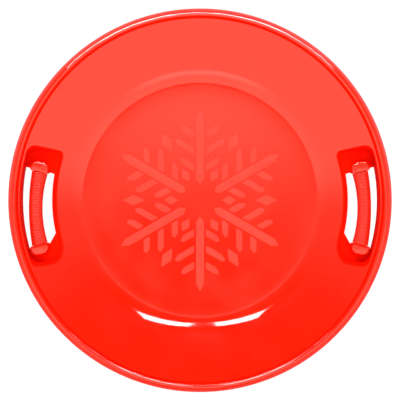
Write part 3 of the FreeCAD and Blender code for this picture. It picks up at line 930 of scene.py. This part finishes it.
class Wall:
    """A pocket's wall: its ring at any height, and where it meets the dish's face."""

    def __init__(self, grow, depth):
        self.levels = np.linspace(pocket_floor - grow, crest_height, WALL_LEVELS)
        self.rings = np.array([pocket_ring(level, grow) for level in self.levels])
        above = self.levels[:, None] - dish_height(from_axis(self.rings), depth)
        last_below = np.sum(np.cumprod(above < 0, axis=0), axis=0) - 1
        points = np.arange(above.shape[1])
        low, high = above[last_below, points], above[last_below + 1, points]
        step = self.levels[1] - self.levels[0]
        self.lip_heights = self.levels[last_below] + step * low / (low - high)
        self.lip = self.at(self.lip_heights)

    def at(self, heights):
        """Ring with each point at its own height."""
        heights = np.broadcast_to(heights, self.rings.shape[1])
        ring = np.empty((len(heights), 3))
        for i, height in enumerate(heights):
            for k in range(3):
                ring[i, k] = np.interp(height, self.levels, self.rings[:, i, k])
        return ring

    def outward(self, ring):
        """Level direction away from the pocket at each point of a ring."""
        along = np.roll(ring, -1, axis=0) - np.roll(ring, 1, axis=0)
        return unit(np.column_stack([along[:, 1], -along[:, 0], np.zeros(len(ring))]))

    def foot_fillet(self, height, radius, steps):
        """Rounded corner between the wall and a level face at its foot, from the wall inwards."""
        foot = self.at(height)
        inward = -self.outward(foot)
        up = unit(self.at(height + PROBE) - foot)
        distance = fillet_reach(inward, up, radius)
        return rounded_corner(foot + up * distance, foot, foot + inward * distance, steps)


def pocket_rings():
    """A pocket's rings, from the dish's face over the lip, down, through and up outside.

    With them comes how much of each ring belongs to the pocket's satin inside.
    """
    wall = Wall(0, 0)
    beside = wall.lip + wall.outward(wall.lip) * PROBE
    beside[:, 2] = dish_height(from_axis(beside))
    on_dish = unit(beside - wall.lip)
    on_wall = unit(wall.at(wall.lip_heights - PROBE) - wall.lip)
    distance = fillet_reach(on_dish, on_wall, LIP_FILLET)
    lip_start = wall.lip + on_dish * distance
    lip_start[:, 2] = dish_height(from_axis(lip_start))
    lip_end = wall.lip + on_wall * distance
    edge = window_ring(WINDOW_INNER_RADIUS, WINDOW_OUTER_RADIUS, 0)
    rings = [edge] + dish_rings(edge, lip_start, 0, UPPER_STRIP_STEPS)
    shares = [0.0] * len(rings)
    rings += rounded_corner(lip_start, wall.lip, lip_end, LIP_STEPS)
    shares += [min(1.0, 2 * k / LIP_STEPS) for k in range(LIP_STEPS + 1)]

    opening = opening_ring(pocket_floor)
    cut = at_opening()[:, None]
    floor = wall.foot_fillet(pocket_floor, FLOOR_FILLET, FLOOR_FILLET_STEPS)
    fillet_start = floor[0]
    floor += rings_between(floor[-1], opening, LEDGE_STEPS)
    straight = [fillet_start] + rings_between(fillet_start, opening, len(floor) - 1)
    rings += rings_between(lip_end, fillet_start, POCKET_WALL_STEPS)[:-1]
    rings += [np.where(cut, down, ring) for down, ring in zip(straight, floor)]
    shares += [1.0] * (len(rings) - len(shares))

    tub = Wall(WALL, WALL)
    tub_radius = FLOOR_FILLET + WALL
    tub_fillet = tub.foot_fillet(ledge_underside, tub_radius, TUB_FILLET_STEPS)[::-1]
    below = opening_ring(ledge_underside)
    inside = from_axis(below) - from_axis(tub_fillet[0])
    rise = tub_radius - np.sqrt(tub_radius ** 2 - np.clip(inside, 0, tub_radius) ** 2)
    below[:, 2] = np.where(cut[:, 0], below[:, 2] + rise, below[:, 2])
    rings.append(below)
    shares.append(1.0)
    underside = [(below + tub_fillet[0]) / 2] + tub_fillet
    for k, share in enumerate(UNDERSIDE_SPREAD):
        underside[k] = np.where(cut, below + (tub_fillet[2] - below) * share, underside[k])
    rings += underside + rings_between(tub_fillet[-1], tub.lip, TUB_WALL_STEPS)
    lower_edge = window_ring(WINDOW_INNER_RADIUS, LOWER_WINDOW_OUTER_RADIUS, WALL)
    rings += dish_rings(lower_edge, tub.lip, WALL, LOWER_STRIP_STEPS)[::-1] + [lower_edge]
    shares += [0.0] * (len(rings) - len(shares))
    return rings, shares


def make_saucer(material):
    """Dish and pockets as one welded skin."""
    upper, rim_end, lower = closed_profile()
    profile = np.concatenate([upper, rim_end, lower[::-1]])
    line = line_mesh("profile", upright(profile))
    upper_rows = [
        row_at(upper, radius, float(dish_height(radius)))
        for radius in (WINDOW_INNER_RADIUS, WINDOW_OUTER_RADIUS)]
    lower_rows = [
        row_at(lower, radius, float(dish_height(radius, WALL)))
        for radius in (LOWER_WINDOW_OUTER_RADIUS, WINDOW_INNER_RADIUS)]
    last = len(profile) - 1
    dish = run_tree(line, turned_dish_tree(), {
        "Sectors": SECTORS, "Window Rear": WINDOW_REAR, "Window Front": WINDOW_FRONT,
        "Upper From Row": upper_rows[0], "Upper To Row": upper_rows[1],
        "Lower From Row": last - lower_rows[0], "Lower To Row": last - lower_rows[1],
        "Finish": material})
    for label in ("row", "sector"):
        dish.attributes.remove(dish.attributes[label])
    rings, shares = pocket_rings()
    skin = np.concatenate(rings)
    count = len(rings[0])
    right = new_mesh("right_pocket", skin, loop_faces(len(rings), count))
    left = new_mesh("left_pocket", mirrored(skin), loop_faces(len(rings), count, flip=True))
    for pocket in (right, left):
        attribute = pocket.attributes.new(POCKET_SHARE, "FLOAT", "POINT")
        attribute.data.foreach_set("value", np.repeat(shares, count).astype(np.float32))
    return join("saucer_shell_skin", [dish, right, left])


def paint_hollows(mesh, material):
    """Gives the inside of the pockets and the groove along the rim their own finish."""
    mesh.materials.append(material)
    share = np.empty(len(mesh.vertices), np.float32)
    mesh.attributes[POCKET_SHARE].data.foreach_get("value", share)
    inside = []
    for face in mesh.polygons:
        radius = math.hypot(face.center.x, face.center.y)
        in_groove = cone_end_radius < radius < step_top_radius and face.normal.z > 0
        in_pocket = min(share[list(face.vertices)]) > POCKET_SHARE_LEAST
        inside.append(int(in_groove or in_pocket))
    mesh.polygons.foreach_set("material_index", inside)
    mesh.attributes.remove(mesh.attributes[POCKET_SHARE])


# Handles

def paint_flanks(mesh, material):
    """Gives the posts' upright sides, and the rear posts' edges towards the grip, a satin finish."""
    mesh.materials.append(material)
    satin = []
    for face in mesh.polygons:
        flank = face.normal.z < FLANK_LIMIT
        near_edge = face.normal.y > NEAR_EDGE_LIMIT and face.center.y < -HANDLE_SETBACK
        satin.append(int(flank or near_edge))
    mesh.polygons.foreach_set("material_index", satin)


def handle_point(radius, angle):
    """Point in plan about the middle of the grip's bend; angle 0 is the middle of the grip."""
    return np.array([
        handle_centre_x + radius * math.cos(angle), radius * math.sin(angle) - HANDLE_SETBACK])


def post_frame(end):
    """Where the grip meets a post, the way to the rim and the way off the grip."""
    angle = end * grip_half_angle
    across = np.array([math.cos(angle), math.sin(angle)])
    away = np.array([-math.sin(angle), math.cos(angle)]) * end
    return handle_point(GRIP_BEND, angle), across, away


def post_middle(end):
    """Middle of a post's near face, placed so that the rear post just clears the pocket's wall."""
    start, across, away = post_frame(-1)
    start = start + away * (POST_DEPTH - POST_OUTER_CORNER)
    limit = pocket_outer_radius - FLOOR_FILLET - POST_WALL_GAP
    ahead = start @ across
    reach = math.sqrt(ahead ** 2 - start @ start + limit ** 2) - ahead
    start, across, _ = post_frame(end)
    return start + across * (reach - POST_WIDTH / 2)


def post_ring(end, height, inset):
    """Rounded outline of a post at this height, drawn in by an inset all round."""
    rise = (height - pocket_floor) / (post_top - pocket_floor)

    def blend(foot, top):
        """A size at this height, between the one at the foot and the one at the top."""
        return foot + (top - foot) * rise

    half = POST_WIDTH / 2 - POST_SIDE_TAPER * rise - inset
    far = blend(POST_DEPTH, POST_TOP_DEPTH) - inset
    near_corner = POST_NEAR_CORNER - inset
    outer_corner = blend(POST_OUTER_CORNER, POST_TOP_OUTER_CORNER) - inset
    inner_corner = blend(POST_INNER_CORNER, POST_TOP_INNER_CORNER) - inset
    corners = (
        (1, inset, 1, near_corner), (1, far, -1, outer_corner),
        (-1, far, -1, inner_corner), (-1, inset, 1, near_corner))
    _, across, away = post_frame(end)
    middle = post_middle(end)
    ring = []
    for k, (side, edge, inward, radius) in enumerate(corners):
        for angle in (k - 1) * math.pi / 2 + np.linspace(0, math.pi / 2, POST_CORNER_STEPS + 1):
            u = side * (half - radius) + radius * math.cos(angle)
            v = edge + inward * radius + radius * math.sin(angle)
            ring.append([*(middle + across * u + away * v), height])
    return np.array(ring)


def make_post(end):
    """Tapered post with a rounded-over top."""
    shoulder = post_top - POST_TOP_FILLET
    flank_heights = np.linspace(pocket_floor, shoulder, POST_FLANK_ROWS)
    rings = [post_ring(end, height, 0) for height in flank_heights]
    for angle in np.linspace(0, math.pi / 2, POST_FILLET_STEPS + 1)[1:]:
        height = shoulder + POST_TOP_FILLET * math.sin(angle)
        rings.append(post_ring(end, height, POST_TOP_FILLET * (1 - math.cos(angle))))
    return capped_mesh("post", rings)


def bar_outline(half_width, low, high, inset):
    """Right half of the grip's section, from the middle of its underside up to the middle of its top."""
    half = half_width - inset
    bottom_radius = max(GRIP_BOTTOM_RADIUS - inset, GRIP_LEAST_RADIUS)
    top_radius = max(GRIP_TOP_RADIUS - inset, GRIP_LEAST_RADIUS)
    floor, roof = low + inset, high - inset
    bottom_angles = np.linspace(-math.pi / 2, 0, GRIP_BOTTOM_STEPS + 1)
    top_angles = np.linspace(0, math.pi / 2, GRIP_TOP_STEPS + 1)
    points = [(0.0, floor)]
    for radius, middle, angles in (
            (bottom_radius, floor + bottom_radius, bottom_angles),
            (top_radius, roof - top_radius, top_angles)):
        for angle in angles:
            points.append((half - radius + radius * math.cos(angle), middle + radius * math.sin(angle)))
    points.append((0.0, roof))
    return np.array(points)


def grip_growth(angle):
    """Width of the grip at an angle from its middle, as a share of its width there."""
    return 1 + (GRIP_WIDTH_END / GRIP_WIDTH_MIDDLE - 1) * (angle / grip_half_angle) ** 2


def make_spine():
    """Bar inside the sleeve that joins the two posts."""
    half_angle = grip_half_angle + SPINE_EMBED / GRIP_BEND
    side = bar_outline(GRIP_WIDTH_MIDDLE / 2, grip_bottom, grip_top, SLEEVE_WALL + SLEEVE_CLEARANCE)
    section = np.concatenate([side, side[-2:0:-1] * np.array([-1, 1])])
    rings = []
    for angle in np.linspace(-half_angle, half_angle, SPINE_STATIONS):
        offsets = section[:, 0] * grip_growth(angle)
        plan = [handle_point(GRIP_BEND + offset, angle) for offset in offsets]
        rings.append(np.column_stack([plan, section[:, 1]]))
    return capped_mesh("spine", rings)


def sleeve_section():
    """Sleeve's C-shaped section as a closed line, with where its ribs point and the middle of its wall."""
    half = GRIP_WIDTH_MIDDLE / 2
    outer = bar_outline(half, grip_bottom, grip_top, 0)
    inner = bar_outline(half, grip_bottom, grip_top, SLEEVE_WALL)
    outer[0, 0] = SLEEVE_SLOT / 2
    inner[0, 0] = SLEEVE_SLOT / 2

    def whole(side):
        """Both halves of a section in one line."""
        return np.concatenate([side, side[-2::-1] * np.array([-1, 1])])

    outer, inner = whole(outer), whole(inner)
    along = np.gradient(outer, axis=0)
    rib_way = unit(np.column_stack([along[:, 1], -along[:, 0]]))
    middle = (outer + inner) / 2
    loop = np.concatenate([outer, inner[::-1]])
    ways = np.concatenate([rib_way, np.zeros_like(rib_way)])
    middles = np.concatenate([middle, middle[::-1]])
    mesh = line_mesh("sleeve_section", upright(loop))
    for label, values in (("rib_way", ways), ("wall_middle", middles)):
        attribute = mesh.attributes.new(label, "FLOAT_VECTOR", "POINT")
        attribute.data.foreach_set("vector", upright(values).astype(np.float32).ravel())
    return mesh


def ribbed_sleeve_tree():
    """Sweeps a section along the grip's bend, with ribs across it and closed ends."""
    tree, given = geometry_tree(
        "ribbed_sleeve", Int=["Stations"], Vector=["Bend Middle"],
        Float=[
            "Half Angle", "Bend Radius", "End Growth", "Rib Pitch", "Rib Width", "Rib Edge", "Rib Height"])
    section, stations = given["Geometry"], given["Stations"]
    bend, pitch, edge = given["Bend Radius"], given["Rib Pitch"], given["Rib Edge"]
    count = point_count(section)
    last = stations + 1
    grid, station, row = numbered_grid(last + 1, count + 1)
    row = row * (row < count - 0.5)

    def on_section(value):
        """What the section holds at this row."""
        return sampled(section, value, row)

    def vector_maths(operation, first, second, key=1):
        """One step of arithmetic on vectors."""
        return new_value(tree, "ShaderNodeVectorMath", {0: first, key: second}, operation=operation)

    skin = on_section(new_value(tree, "GeometryNodeInputPosition"))
    rib_way = on_section(stored(tree, "rib_way", "FLOAT_VECTOR"))
    wall_middle = on_section(stored(tree, "wall_middle", "FLOAT_VECTOR"))

    inner_station = maths("MINIMUM", maths("MAXIMUM", station, 1), stations)
    share = (inner_station - 1) / (stations - 1) * 2 - 1
    angle = share * given["Half Angle"]
    phase = maths("FRACT", angle * bend / pitch)
    off_rib = maths("ABSOLUTE", phase - 0.5) * pitch
    half_rib = given["Rib Width"] / 2
    groove = smooth_step(off_rib, half_rib - edge, half_rib + edge)
    sink = vector_maths("SCALE", rib_way, groove * given["Rib Height"], "Scale")
    ribbed = vector_maths("SUBTRACT", skin, sink)

    at_end = maths("MAXIMUM", station < 0.5, station > last - 0.5)
    point = new_value(
        tree, "ShaderNodeMix", {0: at_end, 4: ribbed, 5: wall_middle}, 1, data_type="VECTOR")
    across, _, height = new_values(tree, "ShaderNodeSeparateXYZ", {0: point}).values()
    radius = bend + across * (1 + given["End Growth"] * (share * share))
    on_axis = new_value(tree, "ShaderNodeCombineXYZ", {0: radius, 2: height})
    placed = vector_maths("ADD", turned(on_axis, angle), given["Bend Middle"])
    # The groove share stays on the points, for the painted shade in the grooves
    swept = moved(store(grid, GROOVE_SHARE, groove), placed)
    finish_tree(welded(swept), given["Finish"])
    return tree


def make_sleeve(material):
    """Ribbed sleeve of the right grip."""
    half_angle = grip_half_angle - SLEEVE_END_CLEARANCE / GRIP_BEND
    mesh = run_tree(sleeve_section(), ribbed_sleeve_tree(), {
        "Stations": SLEEVE_STATIONS,
        "Half Angle": half_angle,
        "Bend Radius": GRIP_BEND,
        "Bend Middle": (handle_centre_x, -HANDLE_SETBACK, 0),
        "End Growth": GRIP_WIDTH_END / GRIP_WIDTH_MIDDLE - 1,
        "Rib Pitch": RIB_PITCH,
        "Rib Width": RIB_WIDTH,
        "Rib Edge": RIB_EDGE,
        "Rib Height": RIB_HEIGHT,
        "Finish": material})
    return join("right_sleeve_skin", [mesh])


def mirrored_mesh(name, mesh):
    """Mirror image of a mesh about the sled's middle, with its faces turned outwards."""
    form = bmesh.new()
    form.from_mesh(mesh)
    for vertex in form.verts:
        vertex.co.x = -vertex.co.x
    bmesh.ops.reverse_faces(form, faces=form.faces)
    copy = bpy.data.meshes.new(name)
    form.to_mesh(copy)
    form.free()
    return copy


# Screws

def make_screw():
    """Domed head with a cross recess, its seat at height 0, and a shank above it."""
    angles = [2 * math.pi * i / SCREW_SECTORS for i in range(SCREW_SECTORS)]
    points = []
    for share in SCREW_RINGS:
        radius = share * SCREW_HEAD_RADIUS
        sag = SCREW_DOME_HEIGHT * (1 - math.sqrt(1 - SCREW_DOME_FULLNESS * share ** 2))
        for angle in angles:
            x, y, z = radius * math.cos(angle), radius * math.sin(angle), sag - SCREW_HEAD_HEIGHT
            across, along = sorted((abs(x), abs(y)))
            if across < SCREW_RECESS_WIDTH / 2 and along < SCREW_RECESS_LENGTH / 2:
                z += SCREW_RECESS_DEPTH * (1 - SCREW_RECESS_TAPER * along / (SCREW_RECESS_LENGTH / 2))
            points.append((x, y, z))
    rims = ((SCREW_HEAD_RADIUS, 0), (SCREW_SHANK_RADIUS, 0), (SCREW_SHANK_RADIUS, SCREW_SHANK_LENGTH),
            (0, SCREW_SHANK_LENGTH + SCREW_SHANK_RADIUS))
    for radius, z in rims:
        points += [(radius * math.cos(angle), radius * math.sin(angle), z) for angle in angles]
    faces = loop_faces(len(SCREW_RINGS) + len(rims), SCREW_SECTORS)
    return join("screw", [new_mesh("screw", points, faces)])


def screw_row_tree():
    """Puts a screw at each point of a mesh, each turned its own way."""
    tree, given = geometry_tree("screw_row", Object=["Screw"], Int=["Seed"])
    screw = new_value(tree, "GeometryNodeObjectInfo", {"Object": given["Screw"]}, "Geometry")
    turn = new_value(
        tree, "FunctionNodeRandomValue", {2: 0.0, 3: math.pi, "Seed": given["Seed"]}, 1, data_type="FLOAT")
    finish_tree(copies(given["Geometry"], screw, turn), given["Finish"])
    return tree


def make_screws(material):
    """The right handle's screws, in the underside of its pocket."""
    places = []
    for end in (-1, 1):
        _, across, away = post_frame(end)
        for side in (-1, 1):
            plan = post_middle(end) + away * SCREW_INSET + across * (side * SCREW_SPACING / 2)
            places.append((*plan, ledge_underside))
    model = add_object("screw_model", make_screw())
    mesh = run_tree(new_mesh("screw_places", places), screw_row_tree(), {
        "Screw": model, "Seed": SCREW_SEED, "Finish": material})
    bpy.data.objects.remove(model)
    return mesh


# Raised design on the base

def plate(outline):
    """Low flat plate with a sloped edge and rounded corners, from its outline in plan."""
    outline = np.asarray(outline, float) * MM
    count = len(outline)
    rounded = []
    for i in range(count):
        corner = outline[i]
        before = corner + unit(outline[i - 1] - corner) * RELIEF_CORNER
        after = corner + unit(outline[(i + 1) % count] - corner) * RELIEF_CORNER
        rounded += rounded_corner(before, corner, after, RELIEF_CORNER_STEPS)
    rounded = np.array(rounded)
    along = np.roll(rounded, -1, axis=0) - np.roll(rounded, 1, axis=0)
    inward = unit(np.column_stack([-along[:, 1], along[:, 0]]))
    return capped_mesh("plate", [
        level_ring(rounded + inward * inset, WALL + height) for inset, height in RELIEF_SECTION])


def branch(radius, length, side):
    """Outline of a bar that starts beside an arm, leans away from it and ends in a point."""
    root = np.array([RELIEF_ARM_HALF + RELIEF_GAP, radius])
    way = np.array([math.sin(RELIEF_BRANCH_LEAN), math.cos(RELIEF_BRANCH_LEAN)])
    slant = np.array([0, RELIEF_BRANCH_WIDTH / math.sin(RELIEF_BRANCH_LEAN)])
    outline = [
        root, root + way * length, root + way * (length + RELIEF_BRANCH_POINT) + slant / 2,
        root + way * length + slant, root + slant]
    return [(side * x, y) for x, y in (outline if side > 0 else outline[::-1])]


def relief_arm_tree():
    """Repeats one arm of the design round the middle of the base."""
    tree, given = geometry_tree("relief_arms", Int=["Arms"])
    points = new_value(
        tree, "GeometryNodeMeshLine", {"Count": given["Arms"], "Offset": (0, 0, 0)}, mode="OFFSET")
    turn = new_value(tree, "GeometryNodeInputIndex") * (2 * math.pi) / given["Arms"]
    finish_tree(copies(points, given["Geometry"], turn), given["Finish"])
    return tree


def make_relief(material):
    """Six-armed snowflake of separate low plates."""
    half = RELIEF_ARM_HALF
    tip, shoulder, far_shoulder, far_tip = RELIEF_ARM_STOPS
    outlines = [[
        (-half, shoulder), (0, tip), (half, shoulder),
        (half, far_shoulder), (0, far_tip), (-half, far_shoulder)]]
    for side in (-1, 1):
        outlines += [branch(radius, length, side) for radius, length in RELIEF_BRANCHES]
    spoke = math.radians(180 / RELIEF_ARMS)
    along = np.array([math.sin(spoke), math.cos(spoke)])
    for start, end, width in RELIEF_BETWEEN:
        across = np.array([along[1], -along[0]]) * width / 2
        middle = (start + end) / 2
        outlines.append([along * start, along * middle + across, along * end, along * middle - across])
    arm = join("relief_arm", [plate(outline) for outline in outlines])
    return run_tree(arm, relief_arm_tree(), {"Arms": RELIEF_ARMS, "Finish": material})


# Finishes

def moulded_surface_group():
    """Slow change of tone, long ripples and fine grain of a moulded skin."""
    tree = bpy.data.node_groups.new("moulded_surface", "ShaderNodeTree")
    for label in SURFACE_SCALES:
        tree.interface.new_socket(label, in_out="INPUT", socket_type="NodeSocketFloat")
    for label in ("Tone", "Height"):
        tree.interface.new_socket(label, in_out="OUTPUT", socket_type="NodeSocketFloat")
    given = new_values(tree, "NodeGroupInput")
    place = new_value(tree, "ShaderNodeTexCoord", output="Object")

    def noise(scale, detail):
        """Pattern of this scale in the piece's own frame."""
        return new_value(tree, "ShaderNodeTexNoise", {"Vector": place, "Scale": scale, "Detail": detail})

    tone = noise(given["Tone Scale"], detail=3.0)
    ripple = noise(given["Ripple Scale"], detail=1.0)
    grain = noise(given["Grain Scale"], detail=2.0) * given["Grain Share"]
    add_node(tree, "NodeGroupOutput", {"Tone": tone, "Height": ripple + grain})
    return tree


def shader_of(material):
    """A material's main shader."""
    return material.node_tree.nodes["Principled BSDF"]


def new_material(name):
    """New material, with its tree and its shader."""
    material = bpy.data.materials.new(name)
    material.use_nodes = True
    return material, material.node_tree, shader_of(material)


def make_finish(name, group, dark, light, rough, bump, scales, coat, ior):
    """Finish of two close tones, with a range of roughness and a little relief."""
    material, tree, shader = new_material(name)
    surface = new_values(tree, "ShaderNodeGroup", dict(zip(SURFACE_SCALES, scales)), node_tree=group)
    colour = add_node(tree, "ShaderNodeValToRGB", {"Fac": surface["Tone"]})
    for stop, position, shade in zip(colour.color_ramp.elements, TONE_SPAN, (dark, light)):
        stop.position = position
        stop.color = (*shade, 1)
    roughness = add_node(tree, "ShaderNodeMapRange", {
        "Value": surface["Tone"], "From Min": TONE_SPAN[0], "From Max": TONE_SPAN[1],
        "To Min": rough[0], "To Max": rough[1]})
    relief = add_node(tree, "ShaderNodeBump", {
        "Height": surface["Height"], "Strength": bump[0], "Distance": bump[1]})
    tree.links.new(colour.outputs["Color"], shader.inputs["Base Color"])
    tree.links.new(roughness.outputs["Result"], shader.inputs["Roughness"])
    tree.links.new(relief.outputs["Normal"], shader.inputs["Normal"])
    shader.inputs["IOR"].default_value = ior
    shader.inputs["Coat Weight"].default_value = coat[0]
    shader.inputs["Coat Roughness"].default_value = coat[1]
    return material


def paint_groove_shade(material, shade):
    """Paints shade into the grooves between the ribs of a grip: darkens their base colour there."""
    tree = material.node_tree
    base = shader_of(material).inputs["Base Color"]
    groove = new_value(tree, "ShaderNodeAttribute", output="Fac", attribute_name=GROOVE_SHARE)
    plain = Value(base.links[0].from_socket)
    mixed = add_node(tree, "ShaderNodeMix", {0: groove, 6: plain, 7: (*shade, 1)}, data_type="RGBA")
    tree.links.new(mixed.outputs[2], base)


# Stage

def make_camera():
    """Camera that looks straight down into the dish."""
    camera = bpy.data.cameras.new("camera")
    camera.lens = CAMERA_LENS
    camera.sensor_width = CAMERA_SENSOR
    holder = add_object("camera", camera)
    holder.location = CAMERA_PLACE
    bpy.context.scene.camera = holder


def make_floor():
    """Floor that is white where it is seen, and gives the sled less light than that."""
    half, level = FLOOR_HALF, FLOOR_LEVEL
    corners = [(-half, -half, level), (half, -half, level), (half, half, level), (-half, half, level)]
    mesh = new_mesh("floor", corners, [(0, 1, 2, 3)])
    material, tree, shader = new_material("floor_white")
    shader.inputs["Base Color"].default_value = (FLOOR_SHADE, FLOOR_SHADE, FLOOR_SHADE, 1)
    shader.inputs["Roughness"].default_value = FLOOR_ROUGHNESS
    shader.inputs["Specular IOR Level"].default_value = 0
    shader.inputs["Emission Color"].default_value = (1, 1, 1, 1)
    path = new_values(tree, "ShaderNodeLightPath")
    place = new_value(tree, "ShaderNodeTexCoord", output="Object")
    ahead = new_value(tree, "ShaderNodeSeparateXYZ", {0: place}, "Y")
    distance = new_value(tree, "ShaderNodeVectorMath", {0: place}, "Value", operation="LENGTH")
    share = mix(smooth_step(ahead, *FLOOR_GLOSS_SPLIT), FLOOR_REAR_GLOSS, FLOOR_FRONT_GLOSS)
    gloss = share * smooth_step(distance, *FLOOR_GLOSS_REACH)
    bounce = smooth_step(distance, *FLOOR_BOUNCE_REACH) * FLOOR_BOUNCE
    lift = maths("MAXIMUM", path["Is Glossy Ray"] * gloss, path["Is Diffuse Ray"] * bounce)
    for kind in ("Is Camera Ray", "Is Transmission Ray"):
        lift = maths("MAXIMUM", lift, path[kind])
    lift = lift * FLOOR_LIFT
    tree.links.new(lift.socket, shader.inputs["Emission Strength"])
    mesh.materials.append(material)
    floor = add_object("floor", mesh)


def make_world():
    """Studio round the sled, bright to the rear and dimmer at the sides and to the front.

    A bright panel stands ahead at each side. Straight overhead, it is dark towards the rear and light
    towards the front.
    """
    world = bpy.data.worlds.new("studio")
    bpy.context.scene.world = world
    world.use_nodes = True
    tree = world.node_tree
    tree.nodes.clear()
    way = new_value(tree, "ShaderNodeTexCoord", output="Generated")
    x, y, z = new_values(tree, "ShaderNodeSeparateXYZ", {0: way}).values()

    def pass_over(value, span, low, high):
        """Low below a span of values, high above it."""
        return mix(smooth_step(value, *span), low, high)

    frontward = y / maths("SQRT", STUDIO_ZENITH_GUARD - z * z)
    off_spot = maths("ABSOLUTE", z - STUDIO_SPOT_RISE)
    spot = smooth_step(frontward * -1, *STUDIO_SPOT_SPAN) * (1 - smooth_step(off_spot, *STUDIO_SPOT_BAND))
    rear = pass_over(z, STUDIO_REAR_RISE, STUDIO_REAR_LOW, STUDIO_REAR_HIGH) + spot * STUDIO_SPOT
    level = pass_over(frontward, STUDIO_SIDE_SPLIT, rear, STUDIO_SIDE)
    level = pass_over(frontward, STUDIO_FRONT_SPLIT, level, STUDIO_FRONT)
    overhead = new_value(tree, "ShaderNodeMapRange", {
        "Value": y, "From Min": STUDIO_OVERHEAD_SPLIT[0], "From Max": STUDIO_OVERHEAD_SPLIT[1],
        "To Min": STUDIO_OVERHEAD_REAR, "To Max": STUDIO_OVERHEAD_FRONT})
    level = pass_over(z, STUDIO_OVERHEAD_EDGE, level, overhead)
    low = pass_over(y, STUDIO_LOW_REAR_SPLIT, STUDIO_LOW_REAR, STUDIO_LOW_SIDE)
    low = pass_over(y, STUDIO_LOW_FRONT_SPLIT, low, STUDIO_LOW_FRONT)
    level = pass_over(z, STUDIO_LOW, low, level)

    height = maths("MAXIMUM", z, STUDIO_LEAST_RISE)
    aside = maths("ABSOLUTE", x / height - STUDIO_PANEL_SHIFT)
    ahead = y / height
    panel = z > STUDIO_LEAST_RISE
    for corner, following in zip(STUDIO_PANEL, STUDIO_PANEL[1:] + STUDIO_PANEL[:1]):
        run = np.subtract(following, corner)
        inward = unit(np.array([run[1], -run[0]]))
        inside = aside * float(inward[0]) + ahead * float(inward[1]) - float(inward @ corner)
        panel = panel * smooth_step(inside, -STUDIO_PANEL_EDGE, STUDIO_PANEL_EDGE)
    path = new_values(tree, "ShaderNodeLightPath")
    level = level + panel * mix(path["Is Diffuse Ray"], STUDIO_PANEL_LEVEL, STUDIO_PANEL_FILL)
    seen = maths("MAXIMUM", path["Is Camera Ray"], path["Is Transmission Ray"])
    white = maths("MAXIMUM", seen, panel)
    colour = new_value(
        tree, "ShaderNodeMix", {0: white, 6: (*STUDIO_TINT, 1), 7: (1, 1, 1, 1)}, 2, data_type="RGBA")
    background = new_value(
        tree, "ShaderNodeBackground", {"Color": colour, "Strength": mix(seen, level, 1.0)})
    add_node(tree, "ShaderNodeOutputWorld", {"Surface": background})


def panel_lamp(name, width, height, level):
    """Rectangular light with a face this bright."""
    lamp = bpy.data.lights.new(name, "AREA")
    lamp.shape = "RECTANGLE"
    lamp.size = width
    lamp.size_y = height
    lamp.energy = level * math.pi * width * height
    return lamp


def place_lamp(name, lamp, place, turn, *unseen_by):
    """Puts a lamp in the scene, hidden from some kinds of ray."""
    holder = add_object(name, lamp)
    holder.location = place
    holder.rotation_euler = turn
    for kind in unseen_by:
        setattr(holder, "visible_" + kind, False)


def make_rear_lamp():
    """Long low soft light behind the sled, which lights the side that rises to the front."""
    lamp = panel_lamp("rear_lamp", REAR_LAMP_WIDTH, REAR_LAMP_HEIGHT, REAR_LAMP_LEVEL)
    tilt = math.pi / 2 - math.atan2(REAR_LAMP_RISE, REAR_LAMP_DISTANCE)
    place_lamp(
        "rear_lamp", lamp, (0, -REAR_LAMP_DISTANCE, REAR_LAMP_RISE), (tilt, 0, 0), "camera", "glossy")


def make_rim_lamps():
    """Strip lights close round the front rim, which only draw the line along its crest."""
    lamp = panel_lamp("rim_lamp", RIM_LAMP_LENGTH, RIM_LAMP_WIDTH, RIM_LAMP_LEVEL)
    lean = math.atan2(RIM_LAMP_AHEAD - crest_radius, RIM_LAMP_RISE - crest_height)
    for number, degrees in enumerate(RIM_LAMP_TURNS):
        turn = math.radians(degrees)
        place = (-RIM_LAMP_AHEAD * math.sin(turn), RIM_LAMP_AHEAD * math.cos(turn), RIM_LAMP_RISE)
        place_lamp("rim_lamp_%d" % number, lamp, place, (-lean, 0, turn), "camera", "diffuse")


def make_sky_lamp():
    """Soft light from straight above, which reaches into the pockets."""
    lamp = bpy.data.lights.new("sky_lamp", "SUN")
    lamp.energy = SKY_LAMP_LEVEL
    lamp.angle = SKY_LAMP_ANGLE
    place_lamp("sky_lamp", lamp, (0, 0, 0), (0, 0, 0), "glossy")


def make_sled():
    """All pieces of the sled. Each but the raised design stands in place of a CAD node."""
    group = moulded_surface_group()
    finishes = {name: make_finish(name, group, **values) for name, values in FINISHES.items()}
    dish_red, pocket_red, post_red, grip_red, relief_red, steel = finishes.values()
    shader_of(post_red).inputs["Coat IOR"].default_value = POST_COAT_IOR
    shader_of(steel).inputs["Metallic"].default_value = 1
    # Painted shade in the grooves between the grip's ribs
    paint_groove_shade(grip_red, GROOVE_PAINTED_SHADE)
    saucer = piece("saucer_dish", make_saucer(dish_red), dish_red, "dish_plastic", "saucer_shell")
    paint_hollows(saucer.data, pocket_red)
    piece("base_relief", make_relief(relief_red), relief_red, "dish_plastic")
    bridge = join("right_bridge_skin", [make_post(-1), make_post(1), make_spine()])
    sleeve = make_sleeve(grip_red)
    screws = make_screws(steel)
    for name, mesh, material, slot in (
            ("handle_bridge", bridge, post_red, "handle_plastic"),
            ("grip_sleeve", sleeve, grip_red, "grip_plastic"),
            ("handle_screws", screws, steel, "screw_steel")):
        left = mirrored_mesh("left_" + name, mesh)
        for side, skin in (("right_", mesh), ("left_", left)):
            made = piece(side + name + "_skin", skin, material, slot, side + name)
            if material is post_red:
                paint_flanks(made.data, pocket_red)


make_camera()
make_floor()
make_world()
make_rear_lamp()
make_rim_lamps()
make_sky_lamp()
make_sled()
bpy.context.scene.view_settings.view_transform = "Standard"
